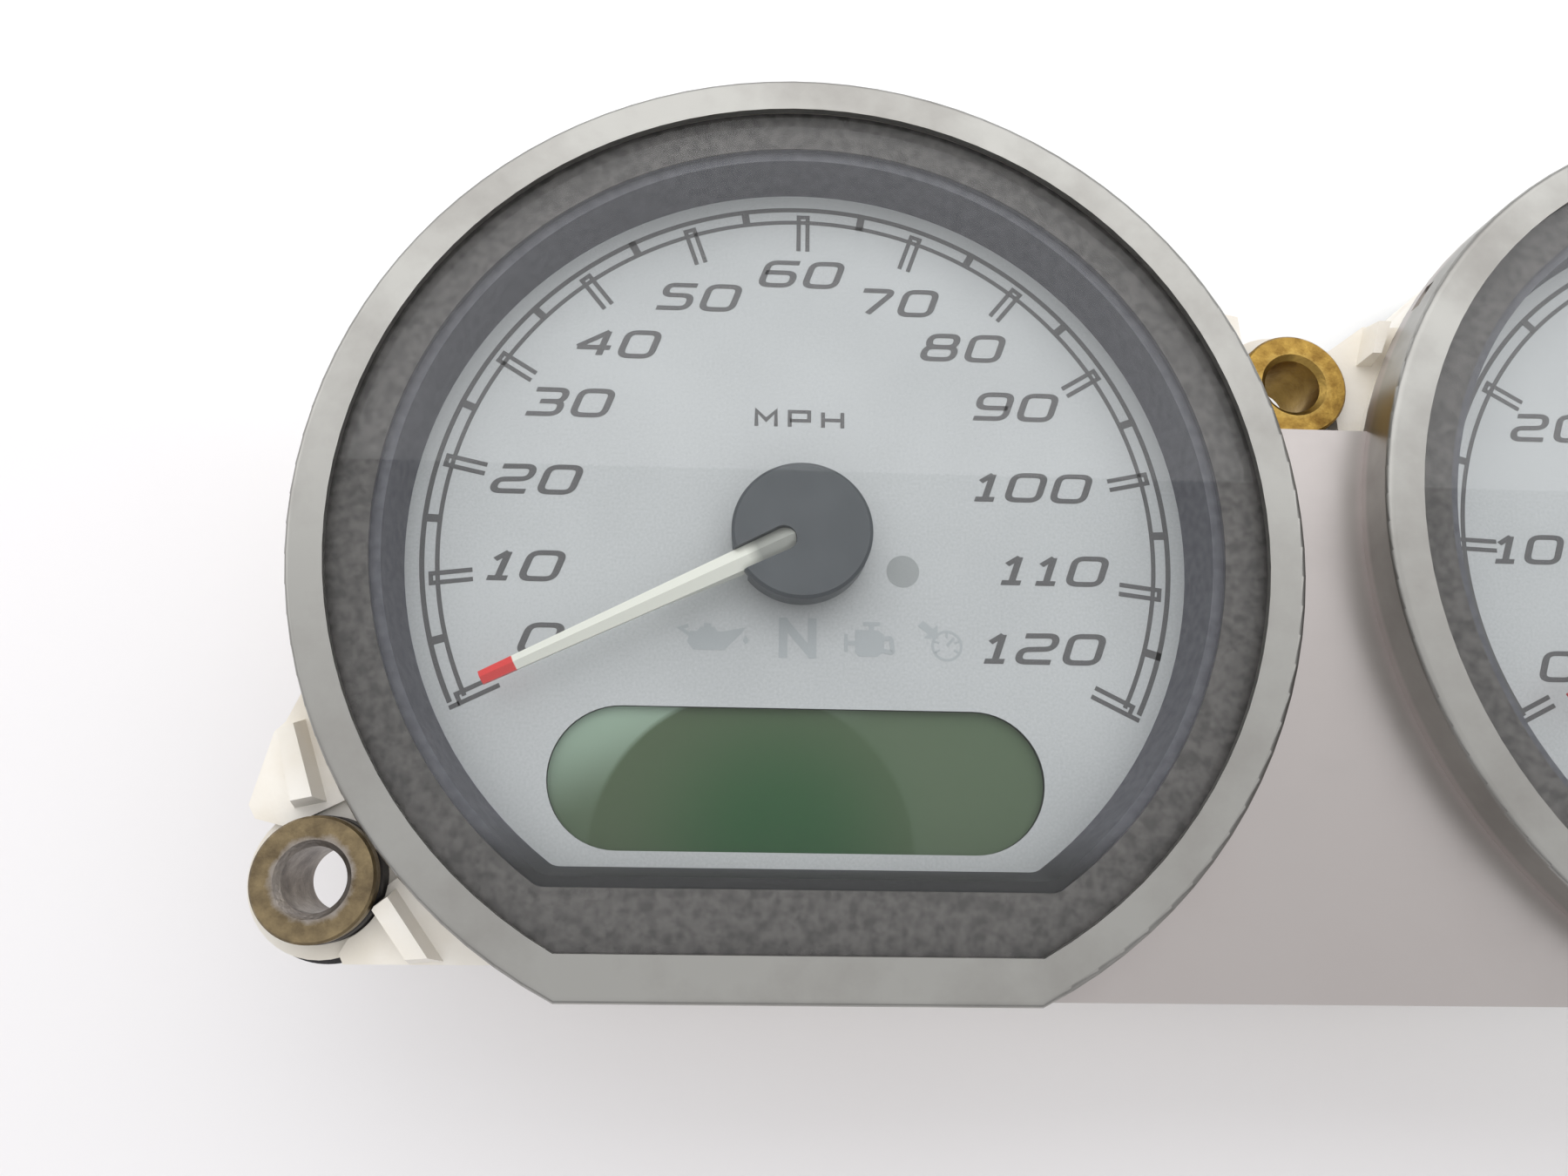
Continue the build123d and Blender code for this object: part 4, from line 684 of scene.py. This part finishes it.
# faint warning lamp signs; flat outlines in mm from the dial centre
def telltales(centre):
    can = [blob([(-12.0, -10.4), (-8.4, -10.4), (-5.9, -9.9), (-6.3, -10.5), (-8.2, -12.5), (-11.6, -12.5),
                 (-12.3, -11.6)]),
           ribbon([(-11.9, -10.9), (-13.1, -10.1), (-12.2, -9.8)], 0.4),
           blob([(-11.2, -10.4), (-10.9, -9.9), (-9.3, -9.9), (-9.0, -10.4)]),
           blob([(-10.5, -9.9), (-10.5, -9.5), (-9.7, -9.5), (-9.7, -9.9)]),
           blob([(-5.9, -10.7), (-5.5, -11.4), (-5.9, -11.8), (-6.2, -11.4)])]
    neutral = [ribbon([(-1.75, -13.2), (-1.75, -8.7)], 0.95), ribbon([(1.45, -13.2), (1.45, -8.7)], 0.95),
               ribbon([(-1.9, -8.9), (1.6, -13.0)], 0.95)]
    engine = [blob([(6.2, -9.9), (8.8, -9.9), (9.4, -10.4), (9.4, -12.3), (8.6, -12.9), (6.6, -12.9),
                    (6.2, -12.4)]),
              ribbon([(7.1, -9.2), (9.0, -9.2)], 0.45), ribbon([(8.0, -9.9), (8.0, -9.2)], 0.6),
              ribbon([(5.2, -10.4), (5.2, -12.4)], 0.4), ribbon([(5.2, -11.4), (6.3, -11.4)], 0.5),
              ribbon([(9.3, -10.9), (10.2, -10.7), (10.4, -12.4), (9.3, -12.2)], 0.5, radius=0.3)]
    hubX, hubY, ring = 16.4, -11.5, 1.75
    cruise = [arcStrip((hubX, hubY), ring - 0.3, ring, 0, 360, 12),
              ribbon([(hubX, hubY), (hubX + 0.8, hubY + 0.9)], 0.35),
              blob([(13.2, -9.3), (13.8, -8.7), (14.9, -9.6), (15.4, -9.1), (15.4, -10.7), (13.8, -10.7),
                    (14.3, -10.2)])]
    cruise += [radialBar((hubX, hubY), a, 0, 0.25, 0.9, ring - 0.25) for a in (-30, 20, 90, 160, 210)]
    shapes = []
    for sign in (can, neutral, engine, cruise):
        shapes += [join([stroke], centre) for stroke in sign]
    return shapes


printPiece("speedo_telltale_signs", telltales(speedo), faintInk)
dot = [(11.6 + 1.85 * cos(radians(a)), -3.1 + 1.85 * sin(radians(a))) for a in range(0, 360, 10)]
printPiece("speedo_sensor_dot", [join([blob(dot)], speedo)], dotInk)
print("telltale signs and sensor window done")


# floor and light

floorLook = {"colours": ("#f7f8f9", "#f1f2f3"), "shade": "#ebe9ea", "fade": (-5, -60), "reach": 900}
floorMaterial, floorTree, floorShader = mottled("whiteTableTop", {
    "colours": floorLook["colours"], "blotch": 60, "rough": (0.5, 0.6), "grain": 2, "bump": 0.02})
# the table goes greyer towards the near left corner, away from the light
floorPlace = add(floorTree, "SeparateXYZ", {0: add(floorTree, "TexCoord").outputs["Object"]})
lean = add(floorTree, "Math", {0: floorPlace.outputs[0], 1: 0.5, 2: floorPlace.outputs[1]},
           operation="MULTIPLY_ADD")
nearer = add(floorTree, "MapRange", {"Value": lean.outputs[0], "From Min": floorLook["fade"][0] * mm,
                                     "From Max": floorLook["fade"][1] * mm},
             interpolation_type="SMOOTHSTEP")
tableColour = floorShader.inputs["Base Color"].links[0].from_socket
shaded = add(floorTree, "Mix", {0: nearer.outputs[0], 6: tableColour, 7: toLinear(floorLook["shade"])},
             data_type="RGBA")
floorTree.links.new(shaded.outputs[2], floorShader.inputs["Base Color"])
reach = floorLook["reach"] * mm
floorData = bpy.data.meshes.new("floor")
floorData.from_pydata([(-reach, -reach, 0), (reach, -reach, 0), (reach, reach, 0), (-reach, reach, 0)], [],
                      [(0, 1, 2, 3)])
floor = bpy.data.objects.new("floor", floorData)
floor.location.z = low[2]
floorData.materials.append(floorMaterial)
bpy.context.scene.collection.objects.link(floor)
floor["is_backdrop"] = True

light = {"room": 1.04, "panel": 1.05, "nearEdge": 206, "height": 600, "deep": 1700, "wide": 3000, "side": 2,
         "strip": (600, 110), "stripAt": (-900, 150, 330)}
world = bpy.data.worlds.new("softRoom")
world.use_nodes = True
room = world.node_tree
# the walls near the horizon are darker than the ceiling, which draws lines along the rolled metal
upward = add(room, "SeparateXYZ", {0: add(room, "TexCoord").outputs["Generated"]})
ceiling = add(room, "MapRange", {"Value": upward.outputs[2], "From Min": 0.08, "From Max": 0.5},
              interpolation_type="SMOOTHSTEP")
tones = add(room, "Mix", {0: ceiling.outputs[0], 6: toLinear("#77777a"), 7: toLinear("#f4f4f5")},
            data_type="RGBA")
room.links.new(tones.outputs[2], room.nodes["Background"].inputs["Color"])
room.nodes["Background"].inputs["Strength"].default_value = light["room"]
bpy.context.scene.world = world

# one wide overhead panel beyond the object; its near edge is the faint line across both panes
panel = bpy.data.lights.new("overheadPanel", "AREA")
panel.shape = "RECTANGLE"
panel.size, panel.size_y = light["wide"] * mm, light["deep"] * mm
panel.energy = light["panel"] * pi * panel.size * panel.size_y  # watts that give this radiance
lamp = bpy.data.objects.new("overheadPanel", panel)
lamp.location = (speedoX, (light["nearEdge"] + light["deep"] / 2) * mm, light["height"] * mm)
bpy.context.scene.collection.objects.link(lamp)
lamp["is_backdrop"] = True

# a low strip to the left draws a line of light along the bezels' shoulders
strip = bpy.data.lights.new("sideStrip", "AREA")
strip.shape = "RECTANGLE"
strip.size, strip.size_y = [side * mm for side in light["strip"]]
strip.energy = light["side"] * pi * strip.size * strip.size_y
sideLamp = bpy.data.objects.new("sideStrip", strip)
sideLamp.location = [place * mm for place in light["stripAt"]]
sideLamp.rotation_euler = (Vector((0, 0, 0)) - sideLamp.location).to_track_quat("-Z", "Y").to_euler()
bpy.context.scene.collection.objects.link(sideLamp)
sideLamp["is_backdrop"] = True
print("floor and soft light set")

low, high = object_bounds()
